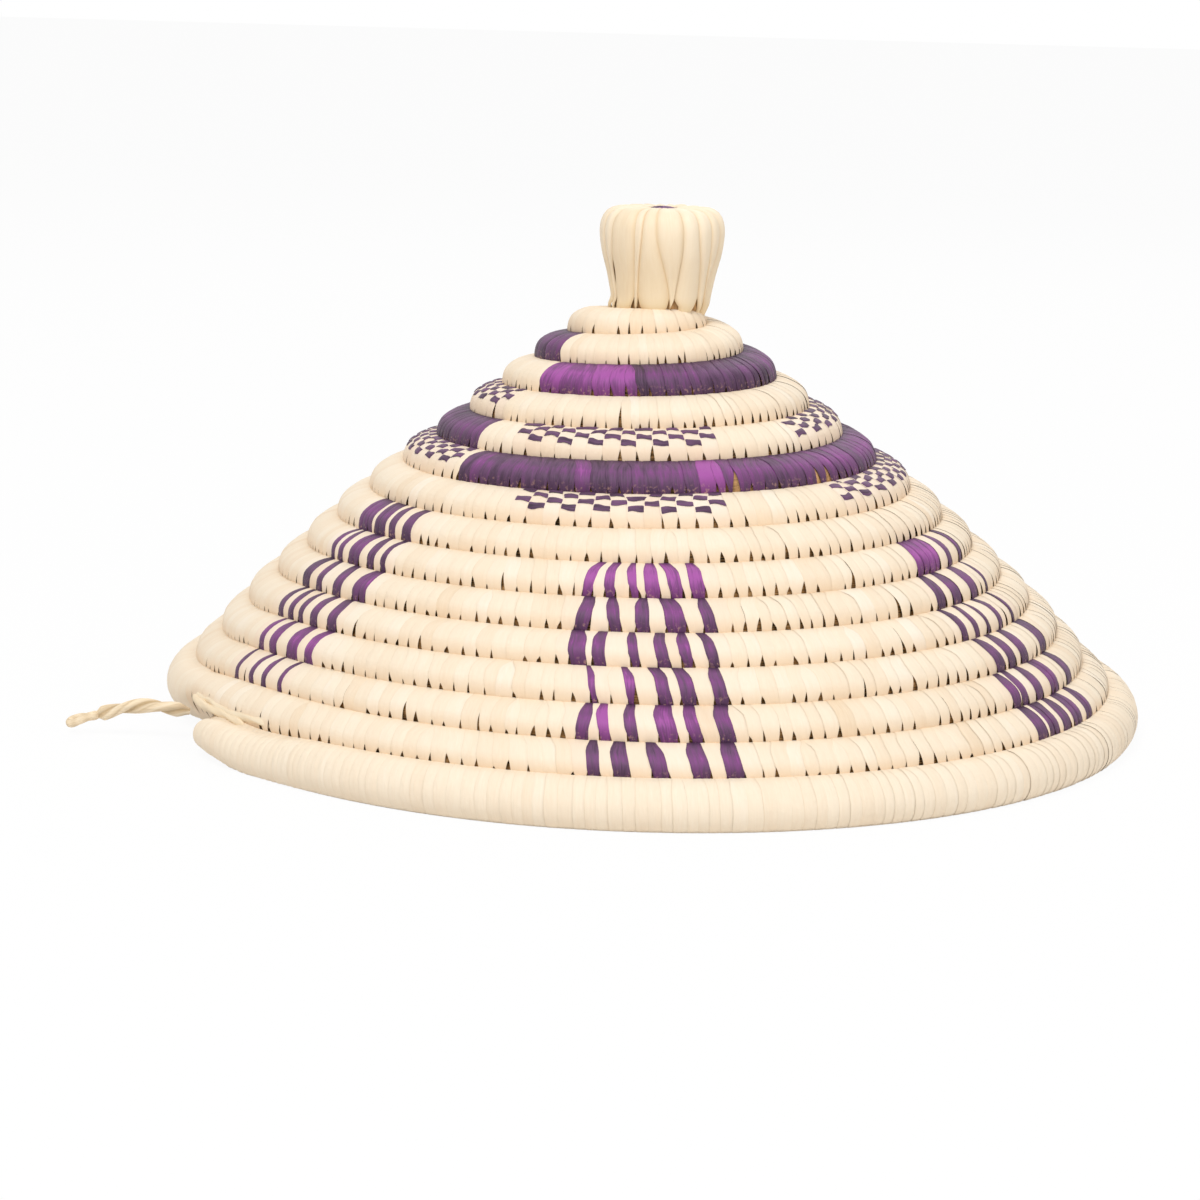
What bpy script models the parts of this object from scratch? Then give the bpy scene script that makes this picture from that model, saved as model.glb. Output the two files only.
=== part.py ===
"""Coiled food cover: one wrapped coil wound from under the knob down to the rim, each turn stitched to the last.

Metres, +Z up. The origin is on the floor below the middle of the rim, and the front of the cover faces -Y.
Azimuths are degrees from the front, positive towards +X. Turns are counted from the coil's start under the knob.
"""
import math

import bmesh
import bpy
import numpy as np
from mathutils import Vector

NAME = "woven_food_cover"

# Winding of the wall
TURNS = 15.0
START_TURN = 0.25
END_AZIMUTH = -70.0
RIM_RADIUS = 0.1643
CROWN_RADIUS = 0.0134
WALL_HEIGHT = 0.1403
LEAN = -0.034
WALL_CENTRE = (0.0002, 0.0002)
POINTS_PER_TURN = 24
FINE_STEPS = 240
LEVELLING = 0.95
LEVELLED_TURNS = 8.0
LEVELLING_POWER = 15

# Along the wall, from the rim up: (turns above the rim, value). Spacing and slope give the wall its curve, which is
# then fitted to the radii and the height above.
TURN_SPACING = ((0.0, 0.0162), (1.0, 0.0148), (2.0, 0.0144), (5.0, 0.0151), (9.0, 0.0151), (14.5, 0.0132))
WALL_SLOPE = (
    (0.0, 66.0), (1.0, 55.5), (2.0, 47.5), (3.0, 44.5), (4.0, 41.5),
    (6.0, 43.0), (9.0, 37.5), (11.5, 39.5), (15.0, 49.5),
)

# Coil sections
RIM_COIL_RADIUS = 0.0085
COIL_GAP = 0.0008
RIM_THICK_FROM = 0.93
RIM_THICK_TO = 1.22
END_TAPER_TURNS = 0.075
END_TIP_RADIUS = 0.0022
END_POINTS = (0.060, 0.045, 0.030, 0.018, 0.008)
START_RADIUS = 0.0030
START_TAPER_TURNS = 0.70
FLOOR_CUT = 0.0005
PIECE_GAP = 0.0003

# Lengths of the coil, each wrapped in strips of one colour: (name, first turn, last turn, material)
COIL_LENGTHS = (
    ("crown_coil", START_TURN, 1.95, "natural"),
    ("upper_band", 1.95, 2.94, "violet"),
    ("collar_coil", 2.94, 4.95, "natural"),
    ("lower_band", 4.95, 5.94, "violet"),
    ("shoulder_coil", 5.94, 7.90, "natural"),
    ("skirt_upper_coil", 7.90, 9.90, "natural"),
    ("skirt_middle_coil", 9.90, 11.90, "natural"),
    ("skirt_lower_coil", 11.90, 13.90, "natural"),
    ("rim_coil", 13.90, TURNS, "natural"),
)

# Knob, with its outline given from the button down to the foot as (radius, height above the foot)
KNOB_SHIFT = 0.0036
KNOB_OUTLINE = (
    (0.0000, 0.0329), (0.0060, 0.0330), (0.0120, 0.0330), (0.0165, 0.0327), (0.0193, 0.0313), (0.0210, 0.0287),
    (0.0216, 0.0255), (0.0215, 0.0223), (0.0209, 0.0179), (0.0199, 0.0136), (0.0189, 0.0098), (0.0180, 0.0054),
    (0.0174, 0.0022), (0.0172, 0.0000),
)
KNOB_SEAT_TURN = 0.85
STEM_RADIUS = 0.0050
STEM_LENGTH = 0.0150
STRIP_WIDTHS = (18, 18, 26, 10, 13, 23, 22, 14, 12, 24, 20, 14, 22, 16, 12, 19, 15, 21, 13, 17, 11)
STRIP_THICKNESS = 0.0012
STRIP_SIDE_GAP = 0.0005
STRIP_CROWN = 0.0003
STRIP_STATIONS = 12
BUTTON_RADIUS = 0.0046
BUTTON_THICKNESS = 0.0016

# Hanging loop: its route runs from the groove above the rim coil, where it leaves it, to where its eye begins
LASHING_FROM = -47.0
LASHING_TO = -65.3
LASHING_RADIUS = 0.0013
LASHING_END_RADIUS = 0.0019
LASHING_POINTS = 10
LOOP_AZIMUTH = -66.5
LOOP_DIAMETER = 0.0050
LOOP_ROUTE = (
    (-0.1610, -0.0680, 0.0114), (-0.1680, -0.0668, 0.0104), (-0.1750, -0.0658, 0.0086),
    (-0.1810, -0.0650, 0.0065), (-0.1855, -0.0645, 0.0048),
)
LOOP_POINTS = 9
LOOP_ROOT_ANGLES = (70, 45, 22)
EYE_LENGTH = 0.0120
EYE_WIDTH = 0.0036
EYE_STRAND_RADIUS = 0.0012
EYE_POINTS = 20


def clear_scene():
    for old in list(bpy.data.objects):
        bpy.data.objects.remove(old, do_unlink=True)


def make_collections():
    model = bpy.data.collections.new(NAME)
    cutters = bpy.data.collections.new("cutters")
    for collection in (model, cutters):
        bpy.context.scene.collection.children.link(collection)
    return model, cutters


def make_material(name, colour, roughness):
    material = bpy.data.materials.new(name)
    material.use_nodes = True
    shader = material.node_tree.nodes["Principled BSDF"]
    shader.inputs["Base Color"].default_value = (*colour, 1.0)
    shader.inputs["Roughness"].default_value = roughness
    return material


def along(table, turns_above):
    """Value of a (turns above the rim, value) table."""
    places, values = zip(*table)
    return np.interp(turns_above, places, values)


def wall_curve():
    """Radius and height of the wall's middle line at fine steps from the rim up, as if the coil were endless."""
    places = np.arange(0, int(TURNS + 1) * FINE_STEPS + 1) / FINE_STEPS
    spacing = along(TURN_SPACING, places)
    slope = np.radians(along(WALL_SLOPE, places))
    inward = np.concatenate([[0.0], np.cumsum(spacing * np.cos(slope))[:-1]]) / FINE_STEPS
    upward = np.concatenate([[0.0], np.cumsum(spacing * np.sin(slope))[:-1]]) / FINE_STEPS
    level = FINE_STEPS // 2
    start = round((TURNS - START_TURN) * FINE_STEPS)
    inward = (inward - inward[level]) * (RIM_RADIUS - CROWN_RADIUS) / (inward[start] - inward[level])
    upward = (upward - upward[level]) * WALL_HEIGHT / (upward[start] - upward[level])
    return places, RIM_RADIUS - inward, upward


WALL_PLACES, WALL_RADII, WALL_HEIGHTS = wall_curve()
RIM_HEIGHT = RIM_COIL_RADIUS * math.cos(math.radians(30)) - FLOOR_CUT


def place_on_wall(turn):
    """How far up the wall a turn lies: each turn stays level most of the way round and drops where the coil ends."""
    above = TURNS - turn
    part = above % 1.0
    levelled = 0.5 + 0.5 * (2 * part - 1) ** LEVELLING_POWER
    return above + LEVELLING * max(1 - above / LEVELLED_TURNS, 0) * (levelled - part)


def smooth_step(value):
    value = min(max(value, 0.0), 1.0)
    return value * value * (3 - 2 * value)


def raw_section(turn):
    """Radius from the axis and height of an endless coil's centre."""
    place = place_on_wall(turn)
    radius = np.interp(place, WALL_PLACES, WALL_RADII)
    return Vector((radius, RIM_HEIGHT + np.interp(place, WALL_PLACES, WALL_HEIGHTS)))


def floor_height(radius):
    """Height of the centre of a coil that stands on the floor, cut flat there."""
    return radius * math.cos(math.radians(30)) - FLOOR_CUT


def shrunk_to_clear(turn, radius):
    """The radius of the tapered end where it stands on the floor, made small enough to pass below the turn above."""
    over, over_radius = raw_section(turn - 1), coil_radius(turn - 1)
    for _ in range(80):
        centre = Vector((raw_section(turn).x, floor_height(radius)))
        if (over - centre).length >= over_radius + radius + COIL_GAP:
            break
        radius -= 0.0001
    return radius


def coil_radius(turn):
    """Half the coil's thickness: what its neighbours leave it, more along the rim, less at its two ends."""
    above = TURNS - turn
    to_above = (raw_section(turn) - raw_section(turn - 1)).length
    to_below = (raw_section(turn) - raw_section(min(turn + 1, TURNS))).length if above > 1.0 else to_above
    radius = 0.5 * (min(to_above, to_below) - COIL_GAP)
    if above < 2.0:
        thick = smooth_step((RIM_THICK_TO - above) / (RIM_THICK_TO - RIM_THICK_FROM))
        radius += (RIM_COIL_RADIUS - radius) * thick
        radius = min(radius, to_above - coil_radius(turn - 1) - COIL_GAP)
        if above > 1 + END_TAPER_TURNS:
            radius = min(radius, to_below - RIM_COIL_RADIUS - COIL_GAP)
    if above < END_TAPER_TURNS:
        radius = END_TIP_RADIUS + (radius - END_TIP_RADIUS) * (above / END_TAPER_TURNS) ** 0.5
        radius = shrunk_to_clear(turn, radius)
    started = min((turn - START_TURN) / START_TAPER_TURNS, 1.0)
    return START_RADIUS + (radius - START_RADIUS) * started if started < 1 else radius


def raw_height(turn):
    return raw_section(turn).y


KNOB_FOOT = raw_height(KNOB_SEAT_TURN) + coil_radius(KNOB_SEAT_TURN) + PIECE_GAP


def azimuth_of(turn):
    return END_AZIMUTH + 360.0 * (TURNS - turn)


def turn_at(azimuth, turns_above):
    """The turn that passes an azimuth, with this many whole turns of coil below it."""
    return TURNS - turns_above - ((azimuth - END_AZIMUTH) % 360.0) / 360.0


def coil_section(turn):
    """Radius from the axis and height of the coil's centre."""
    radius, height = raw_section(turn)
    if TURNS - turn < END_TAPER_TURNS:
        height = floor_height(coil_radius(turn))
    return radius, min(height, KNOB_FOOT - PIECE_GAP - coil_radius(turn))


def around(azimuth, radius, height):
    """A point at this azimuth, radius and height, with the wall's slight lean."""
    angle = math.radians(azimuth)
    return Vector((
        WALL_CENTRE[0] + radius * math.sin(angle) + LEAN * height,
        WALL_CENTRE[1] - radius * math.cos(angle),
        height,
    ))


def coil_point(turn):
    return around(azimuth_of(turn), *coil_section(turn))


def add_tube(name, points, radii, material, collection, depth, sides_step, tilts=None, cyclic=False):
    """A capped tube through the points, as a curve with a round bevel."""
    curve = bpy.data.curves.new(name, "CURVE")
    curve.dimensions = "3D"
    curve.twist_mode = "Z_UP"
    curve.bevel_depth = depth
    curve.bevel_resolution = sides_step
    curve.use_fill_caps = True
    curve.render_resolution_u = 0
    spline = curve.splines.new("POLY")
    spline.points.add(len(points) - 1)
    spline.use_cyclic_u = cyclic
    for index, point in enumerate(spline.points):
        point.co = (*points[index], 1.0)
        point.radius = radii[index] / depth
        point.tilt = tilts[index] if tilts else 0.0
    tube = bpy.data.objects.new(name, curve)
    collection.objects.link(tube)
    curve.materials.append(material)
    return tube


def to_mesh(tube, collection):
    """The curve object as a mesh object with its caps welded on."""
    bpy.context.view_layer.update()
    evaluated = tube.evaluated_get(bpy.context.evaluated_depsgraph_get())
    mesh = bpy.data.meshes.new_from_object(evaluated)
    work = bmesh.new()
    work.from_mesh(mesh)
    bmesh.ops.remove_doubles(work, verts=work.verts, dist=0.00001)
    work.to_mesh(mesh)
    work.free()
    name, place = tube.name, tube.matrix_world.copy()
    bpy.data.objects.remove(tube, do_unlink=True)
    solid = bpy.data.objects.new(name, mesh)
    solid.matrix_world = place
    collection.objects.link(solid)
    return solid


def coil_turns(first, last):
    """The turns of the shared points from one joint to the next."""
    start = math.ceil(first * POINTS_PER_TURN)
    return [step / POINTS_PER_TURN for step in range(start, math.ceil(last * POINTS_PER_TURN))]


def joint_point(turn, towards):
    """A point half a gap short of the middle between the turn's shared point and the next one towards the joint."""
    here, there = coil_point(turn), coil_point(turn + towards / POINTS_PER_TURN)
    reach = 0.5 - 0.5 * PIECE_GAP / (there - here).length
    radius = coil_radius(turn) + (coil_radius(turn + towards / POINTS_PER_TURN) - coil_radius(turn)) * reach
    return here.lerp(there, reach), radius


def add_coil_length(name, first, last, material, collection):
    """One length of the wound coil, a single tube whose edges face the turns above and below it."""
    turns = coil_turns(first, last)
    if last == TURNS:
        turns = [turn for turn in turns if TURNS - turn > END_POINTS[0]]
        turns += [TURNS - above for above in END_POINTS] + [TURNS]
    points = [(coil_point(turn), coil_radius(turn)) for turn in turns]
    tilts = [math.radians(max(60.0 - along(WALL_SLOPE, place_on_wall(turn)), 0.0)) for turn in turns]
    if first > START_TURN:
        points.insert(0, joint_point(turns[0], -1))
        tilts.insert(0, tilts[0])
    if last < TURNS:
        points.append(joint_point(turns[-1], 1))
        tilts.append(tilts[-1])
    places, radii = zip(*points)
    tube = add_tube(name, places, radii, material, collection, RIM_COIL_RADIUS, 1, tilts)
    return tube, (np.linspace(first, last, len(places)), places, radii)


def cut_flat_below(solid, cutters):
    """Cuts the underside of a solid flat at floor level."""
    bpy.ops.mesh.primitive_cube_add(size=1.0, location=(0, 0, -0.01))
    cutter = bpy.context.object
    cutter.name = "floor_cutter"
    cutter.scale = (0.5, 0.5, 0.02)
    for collection in list(cutter.users_collection):
        collection.objects.unlink(cutter)
    cutters.objects.link(cutter)
    cutter.hide_render = True
    cutter.display_type = "WIRE"
    cut = solid.modifiers.new("floor", "BOOLEAN")
    cut.operation = "DIFFERENCE"
    cut.object = cutter


def least_coil_gap(tubes):
    """The smallest clear space between two parts of the coil that lie over half a turn apart along it."""
    samples = []
    for turns, points, radii in tubes:
        for index in range(len(points) - 1):
            for part in np.linspace(0, 1, 6):
                samples.append((*points[index].lerp(points[index + 1], part),
                                radii[index] + (radii[index + 1] - radii[index]) * part,
                                turns[index] + (turns[index + 1] - turns[index]) * part))
    samples = np.array(samples)
    least = 1.0
    for sample in samples:
        far = samples[np.abs(samples[:, 4] - sample[4]) > 0.5]
        clear = np.linalg.norm(far[:, :3] - sample[:3], axis=1) - far[:, 3] - sample[3]
        least = min(least, clear.min())
    return least


def smooth_route(corners, count):
    """Evenly spaced points of a smooth curve through the corners, and its length."""
    corners = [Vector(corner) for corner in corners]
    padded = [2 * corners[0] - corners[1], *corners, 2 * corners[-1] - corners[-2]]
    dense = []
    for a, b, c, d in zip(padded, padded[1:], padded[2:], padded[3:]):
        for step in range(20):
            t = step / 20
            dense.append(0.5 * (2 * b + (c - a) * t + (2 * a - 5 * b + 4 * c - d) * t ** 2
                                + (3 * b - a - 3 * c + d) * t ** 3))
    dense.append(corners[-1])
    lengths = np.concatenate([[0.0], np.cumsum([(q - p).length for p, q in zip(dense, dense[1:])])])
    wanted = np.linspace(0, lengths[-1], count)
    columns = [np.interp(wanted, lengths, column) for column in zip(*dense)]
    return [Vector(place) for place in zip(*columns)], float(lengths[-1])


def knob_stations(inset, top_radius):
    """(radius, height) down the knob's outline from top_radius to the foot, moved inwards by inset."""
    line, _ = smooth_route(KNOB_OUTLINE, 240)
    moved = []
    for index, point in enumerate(line):
        ahead = line[min(index + 1, len(line) - 1)] - line[max(index - 1, 0)]
        moved.append(point + inset * Vector((ahead.y, -ahead.x)).normalized())
    moved = [point for point in moved if point.x >= top_radius and point.y >= 0]
    lengths = np.concatenate([[0.0], np.cumsum([(b - a).length for a, b in zip(moved, moved[1:])])])
    wanted = np.linspace(0, lengths[-1], STRIP_STATIONS)
    radii = np.interp(wanted, lengths, [point.x for point in moved])
    levels = np.interp(wanted, lengths, [point.y for point in moved])
    return list(zip(radii, levels))


def knob_place():
    return around(0, 0, KNOB_FOOT) + Vector((KNOB_SHIFT, 0, 0))


def add_turned(name, outline, segments, material, collection):
    """A solid of revolution from an outline that starts and ends on the axis, from its top down the outer side."""
    mesh = bpy.data.meshes.new(name)
    work = bmesh.new()
    corners = [work.verts.new((radius, 0, height)) for radius, height in outline]
    for first, second in zip(corners, corners[1:]):
        work.edges.new((first, second))
    work.to_mesh(mesh)
    work.free()
    solid = bpy.data.objects.new(name, mesh)
    collection.objects.link(solid)
    screw = solid.modifiers.new("turn", "SCREW")
    screw.steps = screw.render_steps = segments
    screw.use_merge_vertices = True
    screw.merge_threshold = 0.00001
    mesh.materials.append(material)
    return solid


def add_knob_core(material, collection):
    """The bundle stub under the strips, with the stem that passes down through the middle of the crown."""
    inset = STRIP_THICKNESS + PIECE_GAP
    stations = knob_stations(inset, 0.004)
    top = stations[0][1]
    foot_radius = stations[-1][0]
    outline = [(0.0, top), *stations[:-1], (foot_radius, 0.0), (STEM_RADIUS, 0.0)]
    outline += [(STEM_RADIUS, 0.002 - STEM_LENGTH), (0.6 * STEM_RADIUS, -STEM_LENGTH), (0.0, -STEM_LENGTH)]
    core = add_turned("knob_core", outline, 48, material, collection)
    core.location = knob_place()
    return core


def add_knob_strip(index, material, collection):
    """One broad strip laid over the knob from its middle to its foot, the narrower the further it has to come in."""
    stations = knob_stations(0.0, BUTTON_RADIUS + PIECE_GAP)
    stations[-1] = (stations[-1][0], PIECE_GAP)
    name = f"knob_strip_{index + 1:02d}"
    mesh = bpy.data.meshes.new(name)
    work = bmesh.new()
    bmesh.ops.create_grid(work, x_segments=2, y_segments=len(stations) - 1, size=1.0)
    start = math.radians(sum(STRIP_WIDTHS[:index]) - 90)
    width = math.radians(STRIP_WIDTHS[index])
    for vertex in work.verts:
        across = vertex.co.x
        radius, height = stations[round((1 - vertex.co.y) / 2 * (len(stations) - 1))]
        half = 0.5 * width - 0.5 * STRIP_SIDE_GAP / radius
        angle = start + 0.5 * width + across * half
        out = radius + STRIP_CROWN * (1 - abs(across)) * min(radius / KNOB_OUTLINE[-1][0], 1.0)
        vertex.co = Vector((out * math.sin(angle), -out * math.cos(angle), height))
    work.normal_update()
    middle = Vector((0, 0, 0.5 * KNOB_OUTLINE[0][1]))
    if sum(face.normal.dot(face.calc_center_median() - middle) for face in work.faces) < 0:
        bmesh.ops.reverse_faces(work, faces=work.faces)
    work.to_mesh(mesh)
    work.free()
    strip = bpy.data.objects.new(name, mesh)
    collection.objects.link(strip)
    thickness = strip.modifiers.new("thickness", "SOLIDIFY")
    thickness.thickness = STRIP_THICKNESS
    thickness.offset = -1.0
    strip.location = knob_place()
    mesh.materials.append(material)
    return strip


def add_knob_button(material, collection):
    """The dyed stitches that close the middle of the knob's top."""
    top = KNOB_OUTLINE[0][1] - STRIP_THICKNESS
    outline = (
        (0.0, top + BUTTON_THICKNESS), (0.5 * BUTTON_RADIUS, top + 0.9 * BUTTON_THICKNESS),
        (0.85 * BUTTON_RADIUS, top + 0.6 * BUTTON_THICKNESS), (BUTTON_RADIUS, top + 0.2 * BUTTON_THICKNESS),
        (BUTTON_RADIUS, top), (0.0, top),
    )
    button = add_turned("knob_button", outline, 16, material, collection)
    button.location = knob_place()
    return button


def groove_point(azimuth, cord_radius):
    """Centre of a cord that lies in the groove between the rim coil and the turn above it, on the outside."""
    low_turn, high_turn = turn_at(azimuth, 0), turn_at(azimuth, 1)
    low, high = Vector(coil_section(low_turn)), Vector(coil_section(high_turn))
    low_reach = coil_radius(low_turn) + cord_radius + PIECE_GAP
    high_reach = coil_radius(high_turn) + cord_radius + PIECE_GAP
    between = high - low
    apart = between.length
    foot = (apart ** 2 + low_reach ** 2 - high_reach ** 2) / (2 * apart)
    side = math.sqrt(max(low_reach ** 2 - foot ** 2, 0.0))
    along_line = between / apart
    outward = Vector((along_line.y, -along_line.x))
    place = low + along_line * foot + outward * side
    return around(azimuth, place.x, place.y)


def loop_route():
    """The cord's centre line, from where it lies in the groove to its last point before the eye."""
    return smooth_route([groove_point(LOOP_AZIMUTH, 0.5 * LOOP_DIAMETER), *LOOP_ROUTE], LOOP_POINTS)


def add_loop_lashing(material, collection):
    """The loop's strands sewn in along the groove above the rim coil, thickening up to the root of its cord."""
    azimuths = np.linspace(LASHING_FROM, LASHING_TO, LASHING_POINTS)
    parts = np.linspace(0, 1, LASHING_POINTS)
    radii = [LASHING_RADIUS * (0.5 + 0.5 * smooth_step(3 * part))
             + (LASHING_END_RADIUS - LASHING_RADIUS) * smooth_step(4 * part - 3) for part in parts]
    points = [groove_point(azimuth, radius) for azimuth, radius in zip(azimuths, radii)]
    return add_tube("loop_lashing", points, radii, material, collection, LASHING_RADIUS, 2)


def add_loop_cord(material, collection):
    """The twisted cord of the loop, from its rounded root on the swing's axis, where its origin is, to its eye."""
    points, length = loop_route()
    print(f"loop cord length {length:.4f} m")
    root = points[0]
    backward = (root - points[1]).normalized()
    angles = [math.radians(angle) for angle in LOOP_ROOT_ANGLES]
    relative = [0.5 * LOOP_DIAMETER * math.sin(angle) * backward for angle in angles]
    radii = [0.5 * LOOP_DIAMETER * math.cos(angle) for angle in angles]
    relative += [point - root for point in points]
    radii += [0.5 * LOOP_DIAMETER] * LOOP_POINTS
    cord = add_tube("loop_cord", relative, radii, material, collection, 0.5 * LOOP_DIAMETER, 2)
    cord.location = root
    return cord


def add_loop_eye(material, collection):
    """The eye that the doubled cord ends in, a narrow ring in line with it."""
    line, _ = loop_route()
    forward = (line[-1] - line[-2]).normalized()
    sideways = forward.cross(Vector((0, 0, 1))).normalized()
    half_length = 0.5 * EYE_LENGTH - EYE_STRAND_RADIUS
    centre = line[-1] + forward * (PIECE_GAP + 0.5 * EYE_LENGTH) - line[0]
    points = []
    for step in range(EYE_POINTS):
        angle = 2 * math.pi * step / EYE_POINTS
        points.append(centre + forward * half_length * math.cos(angle)
                      + sideways * 0.5 * EYE_WIDTH * math.sin(angle))
    radii = [EYE_STRAND_RADIUS] * EYE_POINTS
    eye = add_tube("loop_eye", points, radii, material, collection, EYE_STRAND_RADIUS, 1, cyclic=True)
    eye.location = line[0]
    return eye


def shade_round(solid):
    if solid.type == "MESH":
        solid.data.shade_smooth()
        solid.data.set_sharp_from_angle(angle=math.radians(50))


def main():
    clear_scene()
    model, cutters = make_collections()
    materials = {
        "natural": make_material("natural_raffia", (0.84, 0.68, 0.45), 0.62),
        "violet": make_material("violet_raffia", (0.12, 0.035, 0.16), 0.55),
        "knob": make_material("broad_raffia", (0.86, 0.71, 0.48), 0.58),
        "core": make_material("grass_bundle", (0.62, 0.45, 0.25), 0.8),
        "cord": make_material("twisted_raffia", (0.74, 0.62, 0.41), 0.7),
    }
    wound = []
    for name, first, last, material in COIL_LENGTHS:
        length, samples = add_coil_length(name, first, last, materials[material], model)
        wound.append(samples)
        if name == "rim_coil":
            cut_flat_below(to_mesh(length, model), cutters)
    print(f"least gap between turns {1000 * least_coil_gap(wound):.2f} mm")
    shade_round(add_knob_core(materials["core"], model))
    for index in range(len(STRIP_WIDTHS)):
        shade_round(add_knob_strip(index, materials["knob"], model))
    shade_round(add_knob_button(materials["violet"], model))
    add_loop_lashing(materials["cord"], model)
    add_loop_cord(materials["cord"], model)
    add_loop_eye(materials["cord"], model)


main()
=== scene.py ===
import math
from functools import partialmethod

import bpy
import numpy as np
from mathutils import Matrix, Vector


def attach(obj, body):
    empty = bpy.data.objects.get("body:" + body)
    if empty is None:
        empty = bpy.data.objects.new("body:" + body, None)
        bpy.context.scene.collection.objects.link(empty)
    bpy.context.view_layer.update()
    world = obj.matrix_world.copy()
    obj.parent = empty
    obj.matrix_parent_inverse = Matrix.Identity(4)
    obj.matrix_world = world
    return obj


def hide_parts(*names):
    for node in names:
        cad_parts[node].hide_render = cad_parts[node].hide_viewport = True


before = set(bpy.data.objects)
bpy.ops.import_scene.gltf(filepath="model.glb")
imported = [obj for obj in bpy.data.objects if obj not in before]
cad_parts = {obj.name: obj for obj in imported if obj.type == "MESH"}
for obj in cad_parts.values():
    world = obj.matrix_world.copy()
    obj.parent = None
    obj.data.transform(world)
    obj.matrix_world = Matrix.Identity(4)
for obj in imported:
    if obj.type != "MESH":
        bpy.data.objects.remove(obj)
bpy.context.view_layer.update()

MM = 0.001
rng = np.random.default_rng(11)

# Camera
CAMERA_AIM = (0.0, 0.0, 0.07)
CAMERA_DISTANCE = 1.0926
CAMERA_ELEVATION = 9.54
CAMERA_ROLL = 1.57
AIM_PIXEL = (655.75, 513.84)
PIXELS = 1200
PIXELS_PER_METRE = 2814.1
SENSOR_WIDTH = 36.0


def add_camera():
    data = bpy.data.cameras.new("photo_camera")
    data.sensor_width = SENSOR_WIDTH
    data.lens = PIXELS_PER_METRE * CAMERA_DISTANCE / PIXELS * SENSOR_WIDTH
    data.shift_x = -(AIM_PIXEL[0] - PIXELS / 2) / PIXELS
    data.shift_y = (AIM_PIXEL[1] - PIXELS / 2) / PIXELS
    camera = bpy.data.objects.new("photo_camera", data)
    bpy.context.scene.collection.objects.link(camera)
    tilt = math.radians(CAMERA_ELEVATION)
    away = Vector((0.0, -math.cos(tilt), math.sin(tilt)))
    turn = (-away).to_track_quat("-Z", "Y").to_matrix().to_4x4()
    roll = Matrix.Rotation(math.radians(CAMERA_ROLL), 4, "Z")
    camera.matrix_world = Matrix.Translation(Vector(CAMERA_AIM) + CAMERA_DISTANCE * away) @ turn @ roll
    bpy.context.scene.camera = camera


add_camera()


# Materials
class Nodes:
    """Short ways to add nodes to the tree of a material or of the world."""

    def __init__(self, tree):
        self.tree = tree

    def set(self, node, inputs):
        """Gives sockets of a node, named or numbered, a value or the output of another node."""
        for key, value in inputs.items():
            if isinstance(value, bpy.types.NodeSocket):
                self.tree.links.new(value, node.inputs[key])
            else:
                node.inputs[key].default_value = value

    def node(self, kind, inputs=None, **settings):
        made = self.tree.nodes.new(kind)
        for key, value in settings.items():
            setattr(made, key, value)
        self.set(made, inputs or {})
        return made

    def attribute(self, name):
        return self.node("ShaderNodeAttribute", attribute_name=name).outputs["Fac"]

    def noise(self, coordinates, scale, detail=3.0, roughness=0.55, stretch=None):
        if stretch:
            coordinates = self.node("ShaderNodeMapping", {"Vector": coordinates, "Scale": stretch}).outputs["Vector"]
        inputs = {"Vector": coordinates, "Scale": scale, "Detail": detail, "Roughness": roughness}
        return self.node("ShaderNodeTexNoise", inputs).outputs["Fac"]

    def maths(self, first, second, operation, clamp=False):
        made = self.node("ShaderNodeMath", {0: first, 1: second}, operation=operation, use_clamp=clamp)
        return made.outputs["Value"]

    plus = partialmethod(maths, operation="ADD")
    minus = partialmethod(maths, operation="SUBTRACT")
    times = partialmethod(maths, operation="MULTIPLY")

    def ramp(self, value, stops):
        made = self.node("ShaderNodeValToRGB", {"Fac": value})
        ramp = made.color_ramp
        while len(ramp.elements) < len(stops):
            ramp.elements.new(0.5)
        for element, (place, colour) in zip(ramp.elements, stops):
            element.position = place
            element.color = (*colour, 1.0)
        return made.outputs["Color"]

    def mix(self, factor, first, second):
        inputs = {0: factor, 6: first, 7: (*second, 1.0)}
        return self.node("ShaderNodeMix", inputs, data_type="RGBA").outputs[2]


class Shader(Nodes):
    """A material with what its surface is set to."""

    def __init__(self, name, roughness, specular):
        self.material = bpy.data.materials.new(name)
        self.material.use_nodes = True
        super().__init__(self.material.node_tree)
        self.surface = self.tree.nodes["Principled BSDF"]
        self.set(self.surface, {"Roughness": roughness, "Specular IOR Level": specular})

    def colour(self, value):
        self.set(self.surface, {"Base Color": value})

    def bump(self, height, strength, distance):
        made = self.node("ShaderNodeBump", {"Height": height, "Strength": strength, "Distance": distance})
        self.set(self.surface, {"Normal": made.outputs["Normal"]})

    def uv(self):
        return self.node("ShaderNodeUVMap", uv_map="strip").outputs["UV"]

    def place(self):
        return self.node("ShaderNodeTexCoord").outputs["Object"]


FIBRE_DEPTH, STALK_DEPTH = 0.3 * MM, 0.5 * MM
FLECK_SCALE, FLECK_FROM, FLECK_COLOUR = 900.0, 0.55, (0.55, 0.32, 0.24)


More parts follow.
